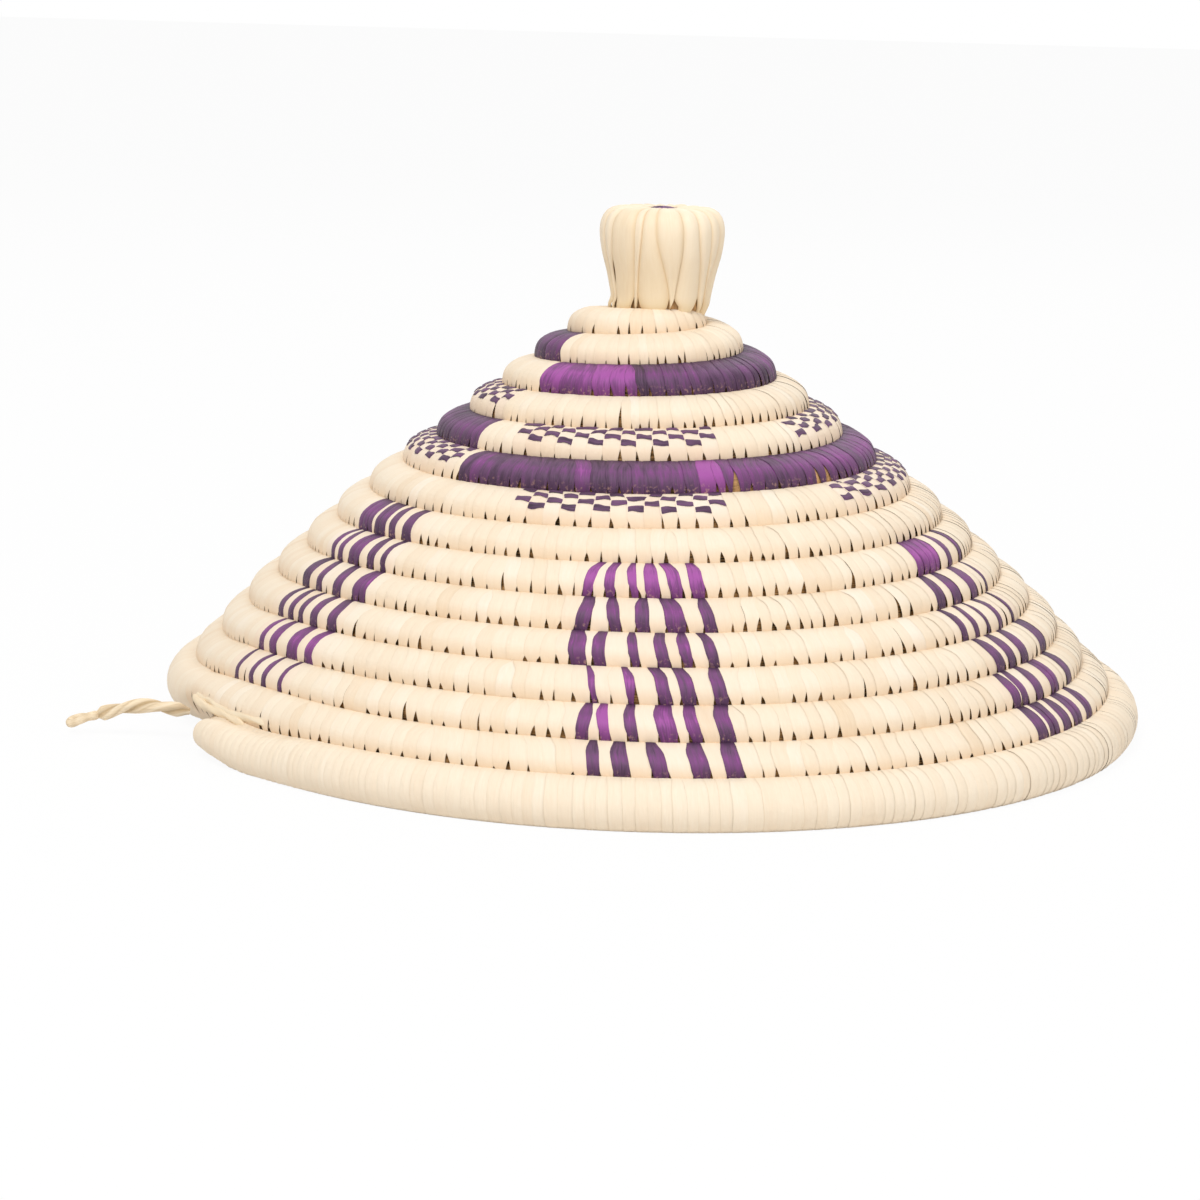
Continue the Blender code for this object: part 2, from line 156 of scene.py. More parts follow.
def raffia(name, stops, tint_and_shade, roughness, specular, streak, bump, fine=34.0, flecks=0.0):
    """Strip of raffia: a tone of its own with streaks along it. Its third argument gives (colour, share) pairs for the
    tint that neighbours' dye leaves on it, and for painted shade at its foot, at its upper end and along its side
    edges."""
    shader = Shader(name, roughness, specular)
    uv = shader.uv()
    fibres = shader.noise(uv, 1.0, 4.0, 0.6, (fine, 1.6, 1.0))
    broad = shader.noise(uv, 1.0, 2.0, 0.5, (0.27 * fine, 0.9, 1.0))
    spread = shader.plus(shader.times(shader.minus(fibres, 0.5), streak),
                         shader.times(shader.minus(broad, 0.5), 0.8 * streak))
    colour = shader.ramp(shader.plus(shader.attribute("tone"), spread, clamp=True), stops)
    # The first pair tints by neighbours' dye; the pairs for foot, top and edges paint shade into the colour.
    for key, (other, share) in zip(("blush", "low", "top", "seam"), tint_and_shade):
        part = shader.times(shader.attribute(key), share, clamp=True)
        colour = shader.mix(part, colour, other)
    if flecks:
        spots = shader.minus(shader.noise(shader.place(), FLECK_SCALE, 3.0), FLECK_FROM)
        edge = shader.plus(shader.minus(shader.attribute("low"), 0.5, clamp=True),
                           shader.times(shader.attribute("seam"), 0.25))
        part = shader.times(edge, shader.times(spots, 7.0, clamp=True))
        colour = shader.mix(shader.times(part, 2.0 * flecks, clamp=True), colour, FLECK_COLOUR)
    shader.colour(colour)
    shader.bump(fibres, bump, FIBRE_DEPTH)
    return shader.material


def bundle_material():
    """Dry grass of the bundle where it shows between the strips."""
    shader = Shader("grass_bundle", 0.85, 0.2)
    stalks = shader.noise(shader.uv(), 1.0, 4.0, 0.6, (14.0, 0.8, 1.0))
    patches = shader.noise(shader.place(), 260.0, 2.0)
    value = shader.plus(shader.times(stalks, 0.5), shader.times(patches, 0.5))
    colour = shader.ramp(value, ((0.38, (0.035, 0.02, 0.008)), (0.48, (0.22, 0.12, 0.045)),
                                 (0.56, (0.42, 0.22, 0.08)), (0.68, (0.66, 0.42, 0.2))))
    # The tone attribute mixes in light orange; on the coil's bundle it is painted light where the grass shows through
    # wide openings
    shader.colour(shader.mix(shader.attribute("tone"), colour, (0.74, 0.43, 0.2)))
    shader.bump(stalks, 0.8, STALK_DEPTH)
    return shader.material


# In each raffia's second list, the first pair is the tint from neighbours' dye and the other three are painted shade
# colours for foot, top and edges.
NATURAL = raffia(
    "natural_raffia",
    ((0.0, (0.79, 0.62, 0.43)), (0.35, (0.85, 0.705, 0.535)), (0.7, (0.88, 0.76, 0.6)), (1.0, (0.9, 0.8, 0.67))),
    (((0.9, 0.7, 0.62), 0.6), ((0.84, 0.6, 0.38), 0.5), ((0.82, 0.62, 0.4), 0.25), ((0.72, 0.52, 0.31), 0.3)),
    roughness=0.62, specular=0.22, streak=0.48, bump=0.4,
)
VIOLET = raffia(
    "violet_raffia",
    ((0.0, (0.046, 0.024, 0.044)), (0.4, (0.136, 0.063, 0.135)), (0.75, (0.226, 0.063, 0.224)),
     (1.0, (0.37, 0.092, 0.355))),
    (((0.62, 0.4, 0.42), 1.0), ((0.03, 0.01, 0.03), 0.55), ((0.03, 0.012, 0.032), 0.65),
     ((0.03, 0.01, 0.034), 0.5)),
    roughness=0.5, specular=0.22, streak=0.95, bump=0.6, fine=30.0, flecks=0.6,
)
BROAD = raffia(
    "broad_raffia",
    ((0.0, (0.82, 0.64, 0.43)), (0.4, (0.88, 0.73, 0.53)), (1.0, (0.92, 0.8, 0.63))),
    (((0.9, 0.7, 0.6), 0.5), ((0.76, 0.57, 0.31), 0.6), ((0.8, 0.62, 0.4), 0.2), ((0.7, 0.49, 0.26), 0.6)),
    roughness=0.52, specular=0.25, streak=0.62, bump=0.2, fine=30.0,
)
CORD = raffia(
    "twisted_raffia",
    ((0.0, (0.62, 0.47, 0.29)), (0.5, (0.85, 0.69, 0.48)), (1.0, (0.91, 0.79, 0.6))),
    (((0.5, 0.4, 0.3), 0.2), ((0.48, 0.36, 0.19), 0.6), ((0.5, 0.4, 0.22), 0.2), ((0.46, 0.31, 0.15), 0.75)),
    roughness=0.62, specular=0.25, streak=0.6, bump=0.6,
)
BUNDLE = bundle_material()


# Meshes of grids
GRAIN_SHIFT = 60


def mesh_object(name, points, widths, material, **values):
    """A mesh of strips, each a grid of points (strip, along, across, 3), with UVs in centimetres, shifted so that no
    two have the same grain. widths are half widths, and each named attribute has a value per strip or point."""
    count, rows, columns, _ = points.shape
    corner = np.arange(rows * columns).reshape(rows, columns)
    quads = np.stack([corner[:-1, :-1], corner[1:, :-1], corner[1:, 1:], corner[:-1, 1:]], -1).reshape(-1, 4)
    faces = (quads[None] + (np.arange(count) * rows * columns)[:, None, None]).reshape(-1, 4)
    mesh = bpy.data.meshes.new(name)
    mesh.from_pydata(points.reshape(-1, 3).tolist(), [], faces.tolist(), shade_flat=False)
    steps = np.linalg.norm(np.diff(points[:, :, columns // 2], axis=1), axis=-1)
    along = np.concatenate([np.zeros((count, 1)), np.cumsum(steps, axis=1)], axis=1) * 100
    start = rng.uniform(0, GRAIN_SHIFT, (count, 2))
    side = np.linspace(-1, 1, columns) * (100 * np.broadcast_to(widths, count))[:, None, None]
    uv = np.stack(np.broadcast_arrays(side + start[:, :1, None], (along + start[:, 1:])[..., None]), -1)
    layer = mesh.uv_layers.new(name="strip")
    layer.data.foreach_set("uv", uv.reshape(-1, 2)[faces.reshape(-1)].reshape(-1).astype(np.float32))
    for key in ("tone", "low", "top", "seam", "blush"):
        value = np.asarray(values.get(key, 0.0), np.float32)
        value = value.reshape(value.shape + (1,) * (3 - value.ndim))
        attribute = mesh.attributes.new(key, "FLOAT", "POINT")
        attribute.data.foreach_set("value", np.broadcast_to(value, (count, rows, columns)).reshape(-1))
    mesh.materials.append(material)
    mesh.update()
    piece = bpy.data.objects.new(name, mesh)
    bpy.context.scene.collection.objects.link(piece)
    return piece


def settle(piece, body, node):
    """Puts a piece on the body it rides on and hides the node it stands for."""
    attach(piece, body)
    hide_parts(node)


def smooth(value):
    value = np.clip(value, 0.0, 1.0)
    return value * value * (3 - 2 * value)


def smooth_line(corners, count):
    """Evenly spaced points of a smooth curve through the corners, and its length."""
    corners = np.array(corners, float)
    padded = np.concatenate([[2 * corners[0] - corners[1]], corners, [2 * corners[-1] - corners[-2]]])
    a, b, c, d = (padded[shift:len(padded) - 3 + shift, None] for shift in range(4))
    t = (np.arange(20) / 20)[None, :, None]
    dense = 0.5 * (2 * b + (c - a) * t + (2 * a - 5 * b + 4 * c - d) * t ** 2 + (3 * b - a - 3 * c + d) * t ** 3)
    dense = np.concatenate([dense.reshape(-1, corners.shape[1]), corners[-1:]])
    lengths = np.concatenate([[0.0], np.cumsum(np.linalg.norm(np.diff(dense, axis=0), axis=1))])
    wanted = np.linspace(0, lengths[-1], count)
    return np.stack([np.interp(wanted, lengths, column) for column in dense.T], -1), lengths[-1]


def tube(line, outline, columns, phases=0.0):
    """Grid round a line: outline(angle, share of length) is the distance out, and phases turns it along the line."""
    ahead = np.gradient(line, axis=0)
    ahead /= np.linalg.norm(ahead, axis=1, keepdims=True)
    side = np.cross(ahead, (0.0, 0.0, 1.0))
    side /= np.linalg.norm(side, axis=1, keepdims=True)
    up = np.cross(side, ahead)
    angle = np.linspace(0, 2 * np.pi, columns)[None, :]
    share = np.linspace(0, 1, len(line))[:, None]
    reach = outline(angle - np.reshape(phases, (-1, 1)), share)[..., None]
    turned = np.cos(angle)[..., None] * side[:, None] + np.sin(angle)[..., None] * up[:, None]
    return line[:, None] + reach * turned


# The hanging loop's cord, on nearly the part's own route
LOOP_ROUTE = (
    (-0.1552, -0.0669, 0.0094), (-0.162, -0.068, 0.0106), (-0.169, -0.0668, 0.011), (-0.1758, -0.0658, 0.01),
    (-0.182, -0.065, 0.0083), (-0.1868, -0.0645, 0.0068),
)
LOOP_STEPS, LOOP_SIDES = 90, 41
PLY_OFFSET, PLY_RADIUS, PLY_PITCH, PLY_START = 0.9 * MM, 1.65 * MM, 27 * MM, 0.6
EYE_LENGTH, EYE_WIDTH, EYE_STRAND = 0.012, 0.0042, 0.0012
EYE_STEPS, EYE_SIDES, EYE_OVERLAP, EYE_WARP = 61, 21, 0.7 * MM, 0.5 * MM


def two_ply(angle, share):
    """Outline of two strands twisted together, with the fibres of each standing out a little, thin at both ends."""
    reach = np.abs(np.cos(angle))
    depth = np.sqrt(PLY_RADIUS ** 2 - (PLY_OFFSET * np.sin(angle)) ** 2)
    ends = (0.5 + 0.5 * smooth(share / 0.14)) * (1 - 0.45 * smooth((share - 0.93) / 0.07))
    return (PLY_OFFSET * reach + depth) * (1 + 0.018 * np.sin(9 * angle + 40 * share)) * ends


def eye_line(end, before):
    """Ring of the loop's eye, which goes on from the cord's end."""
    forward = end - before
    forward /= np.linalg.norm(forward)
    sideways = np.cross(forward, (0, 0, 1))
    sideways /= np.linalg.norm(sideways)
    turn = np.linspace(0, 2 * np.pi, EYE_STEPS)[:, None]
    half = 0.5 * EYE_LENGTH - EYE_STRAND
    middle = end + forward * (0.5 * EYE_LENGTH - EYE_OVERLAP)
    ring = middle + forward * half * np.cos(turn) + sideways * 0.5 * EYE_WIDTH * np.sin(turn)
    ring[:, 2] += EYE_WARP * np.sin(2 * turn[:, 0])
    return ring


def add_loop():
    line, length = smooth_line(LOOP_ROUTE, LOOP_STEPS)
    phases = np.linspace(0, 2 * np.pi * length / PLY_PITCH, len(line)) + PLY_START
    grid = tube(line, two_ply, LOOP_SIDES, phases)
    angle = np.linspace(0, 2 * np.pi, LOOP_SIDES)[None, :] - phases[:, None]
    # Painted shade in the valley between the two plies
    valley = np.abs(np.sin(angle)) ** 6
    fibres = 0.5 + 0.25 * np.sin(5 * angle + 1.3) + 0.12 * np.sin(11 * angle)
    cord = mesh_object("loop_cord_twist", grid[None], 0.008, CORD, tone=fibres[None], seam=valley[None])
    grid = tube(eye_line(line[-1], line[-2]),
                lambda angle, share: EYE_STRAND * (1.12 + 0.06 * np.sin(4 * angle + 30 * share)), EYE_SIDES)
    eye = mesh_object("loop_eye_twist", grid[None], 0.004, CORD,
                      tone=0.45 + 0.15 * np.sin(7 * np.linspace(0, 2 * np.pi, EYE_STEPS))[None, :, None])
    settle(cord, "hang_loop", "loop_cord")
    settle(eye, "hang_loop", "loop_eye")


add_loop()


# The wall's line. A turn is counted from the crown down, and an azimuth from the front towards +X
TURNS, START_TURN, END_AZIMUTH = 15.0, 0.25, -70.0
RIM_TURN = TURNS - 1.0
RIM_RADIUS, CROWN_RADIUS, WALL_HEIGHT = 0.1643, 0.01027, 0.13635
LEAN, WALL_CENTRE = -0.03555, (-0.0001, 0.0002)
FINE_STEPS = 240
LEVELLING, LEVELLED_TURNS, LEVELLING_POWER = 0.95, 8.0, 15
# Distance from turn to turn, and slope of the wall in degrees, by turns up from the rim's end
TURN_SPACING = ((0.0, 0.01287), (1.0, 0.01431), (2.0, 0.01367), (5.0, 0.01387), (9.0, 0.01515), (14.5, 0.01473))
WALL_SLOPE = (
    (0.0, 60.0), (1.0, 46.2), (2.0, 47.9), (3.0, 48.8), (4.0, 42.2),
    (6.0, 43.2), (9.0, 36.7), (11.5, 40.2), (15.0, 37.2),
)
RIM_COIL_RADIUS, COIL_GAP = 0.0085, 0.0004
RIM_THICK_FROM, RIM_THICK_TO = 0.93, 1.22
END_TAPER_TURNS, END_TIP_RADIUS, END_TAPER_POWER = 0.075, 0.003, 0.42
END_TUCK = np.array((-2 * MM, 8 * MM))
END_SHORTER, END_SHORTER_TURNS = 10.0, 0.12
START_RADIUS, START_TAPER_TURNS = 0.003, 0.7
FLAT_HALF_ANGLE, FLOOR_CUT = 30, 0.0005
KNOB_PLACE, KNOB_GAP = np.array((-0.0004, 0.0002, 0.1457)), 0.3 * MM


def wall_curve():
    """Radius and height of the wall at fine steps up from the rim, before it is levelled."""
    places = np.arange(0, int(TURNS + 1) * FINE_STEPS + 1) / FINE_STEPS
    spacing = np.interp(places, *zip(*TURN_SPACING))
    slope = np.radians(np.interp(places, *zip(*WALL_SLOPE)))
    inward = np.concatenate([[0.0], np.cumsum(spacing * np.cos(slope))[:-1]]) / FINE_STEPS
    upward = np.concatenate([[0.0], np.cumsum(spacing * np.sin(slope))[:-1]]) / FINE_STEPS
    level, start = FINE_STEPS // 2, round((TURNS - START_TURN) * FINE_STEPS)
    inward = (inward - inward[level]) * (RIM_RADIUS - CROWN_RADIUS) / (inward[start] - inward[level])
    upward = (upward - upward[level]) * WALL_HEIGHT / (upward[start] - upward[level])
    return places, RIM_RADIUS - inward, upward


WALL_PLACES, WALL_RADII, WALL_HEIGHTS = wall_curve()
RIM_HEIGHT = RIM_COIL_RADIUS * math.cos(math.radians(FLAT_HALF_ANGLE)) - FLOOR_CUT


def raw_section(turn):
    """Radius and height of the coil's centre, with the last turns levelled so that the cover stands flat."""
    above = TURNS - turn
    part = above % 1.0
    levelled = 0.5 + 0.5 * (2 * part - 1) ** LEVELLING_POWER
    place = above + LEVELLING * max(1 - above / LEVELLED_TURNS, 0) * (levelled - part)
    return np.array((np.interp(place, WALL_PLACES, WALL_RADII),
                     RIM_HEIGHT + np.interp(place, WALL_PLACES, WALL_HEIGHTS)))


def coil_radius(turn):
    """Half the coil's thickness, more along the rim and less at its two ends."""
    above = TURNS - turn
    radius = 0.5 * (np.linalg.norm(raw_section(turn) - raw_section(turn - 1)) - COIL_GAP)
    if above < RIM_THICK_TO:
        radius += (RIM_COIL_RADIUS - radius) * smooth((RIM_THICK_TO - above) / (RIM_THICK_TO - RIM_THICK_FROM))
    if above < END_TAPER_TURNS:
        radius = END_TIP_RADIUS + (radius - END_TIP_RADIUS) * (above / END_TAPER_TURNS) ** END_TAPER_POWER
    started = min(max(turn - START_TURN, 0.0) / START_TAPER_TURNS, 1.0)
    return START_RADIUS + (radius - START_RADIUS) * started


GRID = np.arange(round((START_TURN - 1) * FINE_STEPS), round((TURNS + 1) * FINE_STEPS) + 1) / FINE_STEPS


def section_tables():
    """Radius, height and coil radius at fine steps from a turn before the start to a turn past the tucked end."""
    rows = []
    for turn in GRID:
        inside = min(max(turn, START_TURN), TURNS)
        thick = coil_radius(inside)
        place = raw_section(turn if turn < START_TURN else inside)
        if turn > TURNS:
            place = 2 * raw_section(turn - 1) - raw_section(turn - 2)
        elif TURNS - turn < END_TAPER_TURNS:
            over = raw_section(turn - 1)
            part = smooth((turn - TURNS) / END_TAPER_TURNS + 1)
            way = place - over + part * END_TUCK
            tucked = over + way * (coil_radius(turn - 1) + thick) / np.linalg.norm(way)
            place = place + (tucked - place) * part
        rows.append((place[0], min(place[1], KNOB_PLACE[2] - KNOB_GAP - thick), thick))
    return np.array(rows).T


RADII, LEVELS, THICK = section_tables()


def section(turn):
    return np.stack([np.interp(turn, GRID, RADII), np.interp(turn, GRID, LEVELS)], -1)


def coil_size(turn):
    return np.interp(turn, GRID, THICK)


def azimuth_of(turn):
    """Azimuth of a place along the coil, whose last bit is drawn shorter."""
    shorter = END_SHORTER * smooth((turn - TURNS + END_SHORTER_TURNS) / END_SHORTER_TURNS)
    return END_AZIMUTH + 360.0 * (TURNS - turn) + shorter


def turn_at(row, azimuth):
    """The turn of a row, counted at the coil's end, at an azimuth from the front."""
    return row - (azimuth - END_AZIMUTH) / 360.0


def around(azimuth, radius, height):
    """Points at an azimuth, radius and height of the wall, whose middle leans to one side."""
    angle = np.radians(azimuth)
    return np.stack([WALL_CENTRE[0] + radius * np.sin(angle) + LEAN * height,
                     WALL_CENTRE[1] - radius * np.cos(angle), height], -1)


def wall_at(turn, down):
    """Middle surface of the wall, down rows below the coil's centre at this turn, and its outward direction."""
    here, over, under = section(turn), section(turn - 1), section(turn + 1)
    slope, bend = (under - over) / 2, under + over - 2 * here
    down = np.asarray(down)[..., None]
    place = here + down * slope + 0.5 * down * down * bend
    along = slope + down * bend
    along = along / np.linalg.norm(along, axis=-1, keepdims=True)
    return place, np.stack([-along[..., 1], along[..., 0]], -1)


def girth(turn):
    """Length of one turn along the row's crest."""
    place, normal = wall_at(turn, 0)
    return 2 * math.pi * (place[..., 0] + normal[..., 0] * coil_size(turn))


# Profile of a wrapped row
BULGE, PEAK, FULL_COIL = 0.2 * MM, 0.12, 6 * MM
GROOVE = ((1, 4, 7, 13), (3.3 * MM, 3.1 * MM, 2.8 * MM, 2.7 * MM))
INNER_SHARE, INNER_GROOVE, INNER_POWER = 0.94, 2.6 * MM, 2.2


def fullness(turn):
    """Share of the full groove that a row has, less where the coil is thin."""
    return np.clip(coil_size(turn) / FULL_COIL, 0.2, 1)


def outer_height(turn, down):
    """How far the strips lie out from the wall's middle, steeper below the row's crest than above it."""
    off = np.where(down < PEAK, (PEAK - down) / (0.5 + PEAK), (down - PEAK) / (0.5 - PEAK))
    return coil_size(turn) + BULGE - np.interp(turn, *GROOVE) * fullness(turn) * off ** 2


def inner_height(turn, down):
    """How far the strips lie in from the wall's middle."""
    return INNER_SHARE * coil_size(turn) - INNER_GROOVE * fullness(turn) * np.abs(2 * down) ** INNER_POWER


def rim_share(turn):
    """0 on the wall's rows and 1 on the rim coil, which is wrapped all round."""
    return smooth((turn - RIM_TURN + 0.02) / 0.04)


def top_share(down):
    """How far a border follows its own tip: not at all below the row's middle, and fully at its top."""
    return smooth((-0.12 - down) / 0.4)


# Stations of one strip round the coil: (rows down from the coil's centre, dip below the surface in mm, share of width,
# angle round the rim coil from straight up)
OUTSIDE = np.array([
    (-0.6, 1.9, 0.9, 26), (-0.565, 1, 1.0, 31), (-0.53, 0.4, 1, 36), (-0.495, 0.06, 1, 40),
    (-0.45, 0, 1, 46), (-0.36, 0, 1, 56), (-0.25, 0, 1, 68), (-0.12, 0, 1, 81),
    (0.02, 0, 1, 95), (0.14, 0, 1, 109), (0.23, 0, 1, 121), (0.3, 0, 1, 132),
    (0.36, 0, 1, 143), (0.41, 0, 1, 152), (0.455, 0, 1, 161), (0.495, 0.05, 1, 171),
    (0.53, 0.3, 0.96, 180), (0.56, 1.1, 0.9, 186),
])
INSIDE = np.array([
    (0.53, 0, 1, 198), (0.5, 0.4, 1, 212), (0.4, 0, 1, 228), (0.22, 0, 1, 246),
    (0.0, 0, 1, 264), (-0.22, 0, 1, 282), (-0.4, 0, 1, 300), (-0.5, 0.3, 0.9, 314),
    (-0.57, 1.4, 0.7, 326),
])
STATIONS = np.concatenate([OUTSIDE, INSIDE])
OUTER = np.arange(len(STATIONS)) < len(OUTSIDE)
ACROSS = np.array((-1.0, -0.88, -0.45, 0.0, 0.45, 0.88, 1.0))
OVERLAP, WAVE, EDGE_DROP = 0.27 * MM, 0.07 * MM, 0.06 * MM
OPENING_END = 0.47
STRIP_FLOOR, BUNDLE_FLOOR = 0.15 * MM, 0.6 * MM


def edge_lines(edges):
    """Turn of each border at each station, and how far the edges of the strips after and before it draw back."""
    down, own = STATIONS[:, 0], {key: value[:, None] for key, value in edges.items()}
    length = girth(own["turn"])
    part = np.clip((down - own["start"]) / (OPENING_END - own["start"]), 0, 1) * OUTER
    move = own["tip"] * (top_share(down) * OUTER) - own["lean"] * down * np.where(OUTER, 1.0, 0.5)
    slit = own["slit"] * smooth((down + 0.3) / 0.15) * OUTER
    wave = WAVE * np.sin(own["turn"] * 997 + 9 * down) * OUTER
    opened = own["gap"] * part ** own["round"]
    sides = [(opened * (1 + sign * own["skew"]) + slit - OVERLAP) / length for sign in (1, -1)]
    return own["turn"] + (move + wave) / length, *sides


def row_axes(here, over):
    """Directions from a row to the one above and out from the wall there, and how far the two rows are apart."""
    apart = np.linalg.norm(over - here, axis=-1, keepdims=True)
    up = (over - here) / apart
    return up, np.stack([up[..., 1], -up[..., 0]], -1), apart


def ring_place(turn, lift, angle):
    """Places round the coil itself at an angle from straight up the wall, lift from its centre."""
    here = section(turn)
    up, out, _ = row_axes(here, section(turn - 1))
    theta = np.radians(angle)[..., None]
    return here + lift[..., None] * (np.cos(theta) * up + np.sin(theta) * out)


def wrapped(turn, down, lift, ring_lift, angle, on_rim, floor):
    """Points lift out from the wall's middle, or where on_rim is 1 ring_lift out from the rim coil's own."""
    place, normal = wall_at(turn, down)
    row = place + normal * lift[..., None]
    flat = row + (ring_place(turn, ring_lift, angle) - row) * on_rim[..., None]
    return around(azimuth_of(turn), flat[..., 0], np.maximum(flat[..., 1], floor))


def strip_points(edges, traits):
    """Points (strip, station, across, 3) of the strips between the borders."""
    down, dip, share, angle = (column[None, :, None] for column in STATIONS.T)
    line, after, before = edge_lines(edges)
    first, last = (line[:-1] + after[:-1])[..., None], (line[1:] - before[1:])[..., None]
    turn = 0.5 * (first + last) + 0.5 * (last - first) * share * ACROSS
    turn = np.clip(turn, START_TURN, TURNS)
    outer = OUTER[:, None]
    crown, tilt, lift = (traits[key][:, None, None] for key in ("crown", "tilt", "lift"))
    relief = crown * (1 - ACROSS ** 2) - EDGE_DROP * np.abs(ACROSS) ** 8 + tilt * ACROSS + lift
    surface = np.where(outer, outer_height(turn, down) + relief, -inner_height(turn, down) - relief)
    sink = np.where(outer, -dip, dip) * MM
    on_rim = rim_share(turn) * np.where(outer & (down < -0.5), 0.0, 1.0)
    return wrapped(turn, down, surface + sink, coil_size(turn) + BULGE + relief, angle, on_rim, STRIP_FLOOR)


# Where each strip goes
COIL_LENGTHS = (
    ("crown_coil", START_TURN, 1.95), ("upper_band", 1.95, 2.94), ("collar_coil", 2.94, 4.95),
    ("lower_band", 4.95, 5.94), ("shoulder_coil", 5.94, 7.9), ("skirt_upper_coil", 7.9, 9.9),
    ("skirt_middle_coil", 9.9, 11.9), ("skirt_lower_coil", 11.9, 13.9), ("rim_coil", 13.9, TURNS),
)
BANDS = ((1.95, 2.94), (4.95, 5.94))
PITCH = ((0, 1, 4, 7, 10, 14), (3.2 * MM, 3.3 * MM, 3.8 * MM, 4.4 * MM, 4.8 * MM, 5.0 * MM))
CHECK_PATCHES = (
    (3.954, 0.165), (4.219, 0.17), (4.484, 0.187), (4.749, 0.165),
    (5.946, 0.15), (6.217, 0.16), (6.488, 0.192), (6.759, 0.124),
)
# Violet stripes in view, by row: (azimuth from, to, tone, lean in mm), left to right
STRIPES = {
    8: ((-65.7, -60.4, 0.5, 2), (-59.1, -55.5, 0.38, 2), (-54.2, -52.3, 0.36, 2), (-50, -47.6, 0.42, 2)),
    9: ((-65.5, -64.1, 0.42, 0.5), (-62.5, -61, 0.48, 0.5), (-58.6, -55.4, 0.48, 0.8), (-52.9, -51.1, 0.4, 1),
        (-49, -48, 0.36, 1),
        (-9.4, -8, 0.88, -2.6), (-6.3, -5, 0.8, -0.6), (-2.8, -1.6, 0.9, 1.2), (-0.1, 1.9, 1, 0.8),
        (3.5, 5.4, 0.92, 2), (7.1, 9.1, 0.96, 0.6),
        (52.2, 59.8, 0.8, -2.6), (62.8, 64.4, 0.4, -1), (68.2, 69.8, 0.38, -0.5)),
    10: ((-66, -63.5, 0.22, 0.8), (-60.8, -59.3, 0.36, 0.8), (-55.6, -53.5, 0.38, 0.6), (-50.2, -47.2, 0.52, 0.4),
         (-9.7, -7.9, 0.48, -2.6), (-5.6, -4, 0.5, 1.4), (-1.4, 0.4, 0.46, 0.4), (2.8, 5.4, 0.6, 1.7),
         (8.2, 9.8, 0.48, 2),
         (50.6, 52.7, 0.34, -1.2), (54.8, 57.3, 0.4, 0), (60.8, 63.4, 0.5, 0), (67.4, 68.3, 0.25, 0)),
    11: ((-64.6, -63.2, 0.34, 0.6), (-61.2, -60, 0.32, 0.6), (-58.2, -57.1, 0.34, 0.6), (-54.8, -53.2, 0.42, 0.6),
         (-50.5, -48.7, 0.45, 0.6),
         (-10.3, -8.2, 0.56, 0.2), (-7.1, -5.6, 0.5, 0.6), (-2.3, -1.2, 0.5, 1.7), (1.3, 2.7, 0.5, 2),
         (4.5, 5.9, 0.58, 1.8), (8.1, 9.4, 0.42, 1.7),
         (50.2, 51.5, 0.3, 0.6), (53.6, 54.6, 0.4, 0.6), (57.2, 57.9, 0.36, 0.6), (61.1, 62.3, 0.36, 0.4),
         (66.5, 67.3, 0.28, 0.2)),
    12: ((-62.2, -61.1, 0.62, 0.6), (-59.2, -57.5, 0.64, 0.6), (-54.5, -52.3, 0.66, 0.8), (-50.3, -48.8, 0.68, 0.8),
         (-7.1, -6.5, 0.72, 1.8), (-2.5, -1.5, 0.74, 2.1), (1.3, 2.7, 0.58, 2), (4.2, 5.8, 0.5, 2.1),
         (8.3, 9.8, 0.48, 2.1),
         (52.4, 54.3, 0.38, 2.2), (55.7, 57.6, 0.36, 1.4), (59.5, 61.6, 0.4, 0.6), (66.9, 69.6, 0.36, 0.3)),
    13: ((-62.3, -61.6, 0.25, 0.6), (-58.3, -57.6, 0.36, 0.6), (-55.3, -54.4, 0.48, 0.8), (-51.4, -50.8, 0.42, 0.8),
         (-7.8, -6.5, 0.62, -1.8), (-5.6, -4.6, 0.97, 2), (-2.4, -1.3, 0.55, 1.8), (1.2, 3.2, 0.8, 2.5),
         (4.7, 6, 0.64, 2.5), (8.3, 9.9, 0.5, 2),
         (51.2, 52.8, 0.42, 0.6), (53.2, 54.6, 0.38, 0.6), (56.8, 58.6, 0.44, 0.5), (61.4, 63.8, 0.55, 0.4),
         (67.5, 69.6, 0.34, 0.2)),
    14: ((-6.4, -5.3, 0.42, 1.6), (-3.7, -2.1, 0.44, 2.2), (0.4, 2, 0.46, 2.8), (4.8, 6.6, 0.5, 2.8),
         (8.6, 10.3, 0.44, 2.2),
         (51.6, 53.5, 0.38, 0.4), (54.3, 56.4, 0.38, 0.4), (57.7, 59.5, 0.38, 0.3), (60.7, 63.1, 0.4, 0.3),
         (65, 67.1, 0.36, 0.2)),
}
HIDDEN_AZIMUTHS, HIDDEN_TONES = (120, 180, 240), (0.38, 0.45, 0.6, 0.85)
STRIPE_WIDENED, STRIPE_ROW = 0.38 * MM, 12
# Places where the bundle shows: (turn, start of the opening, its half width in mm)
OPENINGS = (
    (turn_at(6, 23.0), -0.1, 1.6), (turn_at(6, 45.0), 0.1, 1.2), (turn_at(6, 50.0), 0.0, 1.5),
    (turn_at(12, -0.4), 0.0, 1.1), (turn_at(10, -8.0), -0.05, 0.8), (turn_at(4, -9.5), -0.2, 0.9),
    (turn_at(4, -57.0), 0.0, 1.2), (turn_at(5, 2.5), 0.15, 1.0), (turn_at(9, -24.0), 0.0, 0.9),
    (turn_at(13, -20.0), -0.1, 0.7), (turn_at(12, 28.0), -0.05, 0.7),
)
# Tone of the bands' dye, greyed but for some spans: (from turn, to turn, tone)
BAND_TONE = 0.36
BRIGHT_SPANS = ((2.814, 2.94, 0.84), (5.56, 5.67, 0.56), (5.67, 5.752, 0.46), (5.752, 5.768, 1.0))


def band_tone(turn):
    return next((tone for first, last, tone in BRIGHT_SPANS if first < turn < last), BAND_TONE)


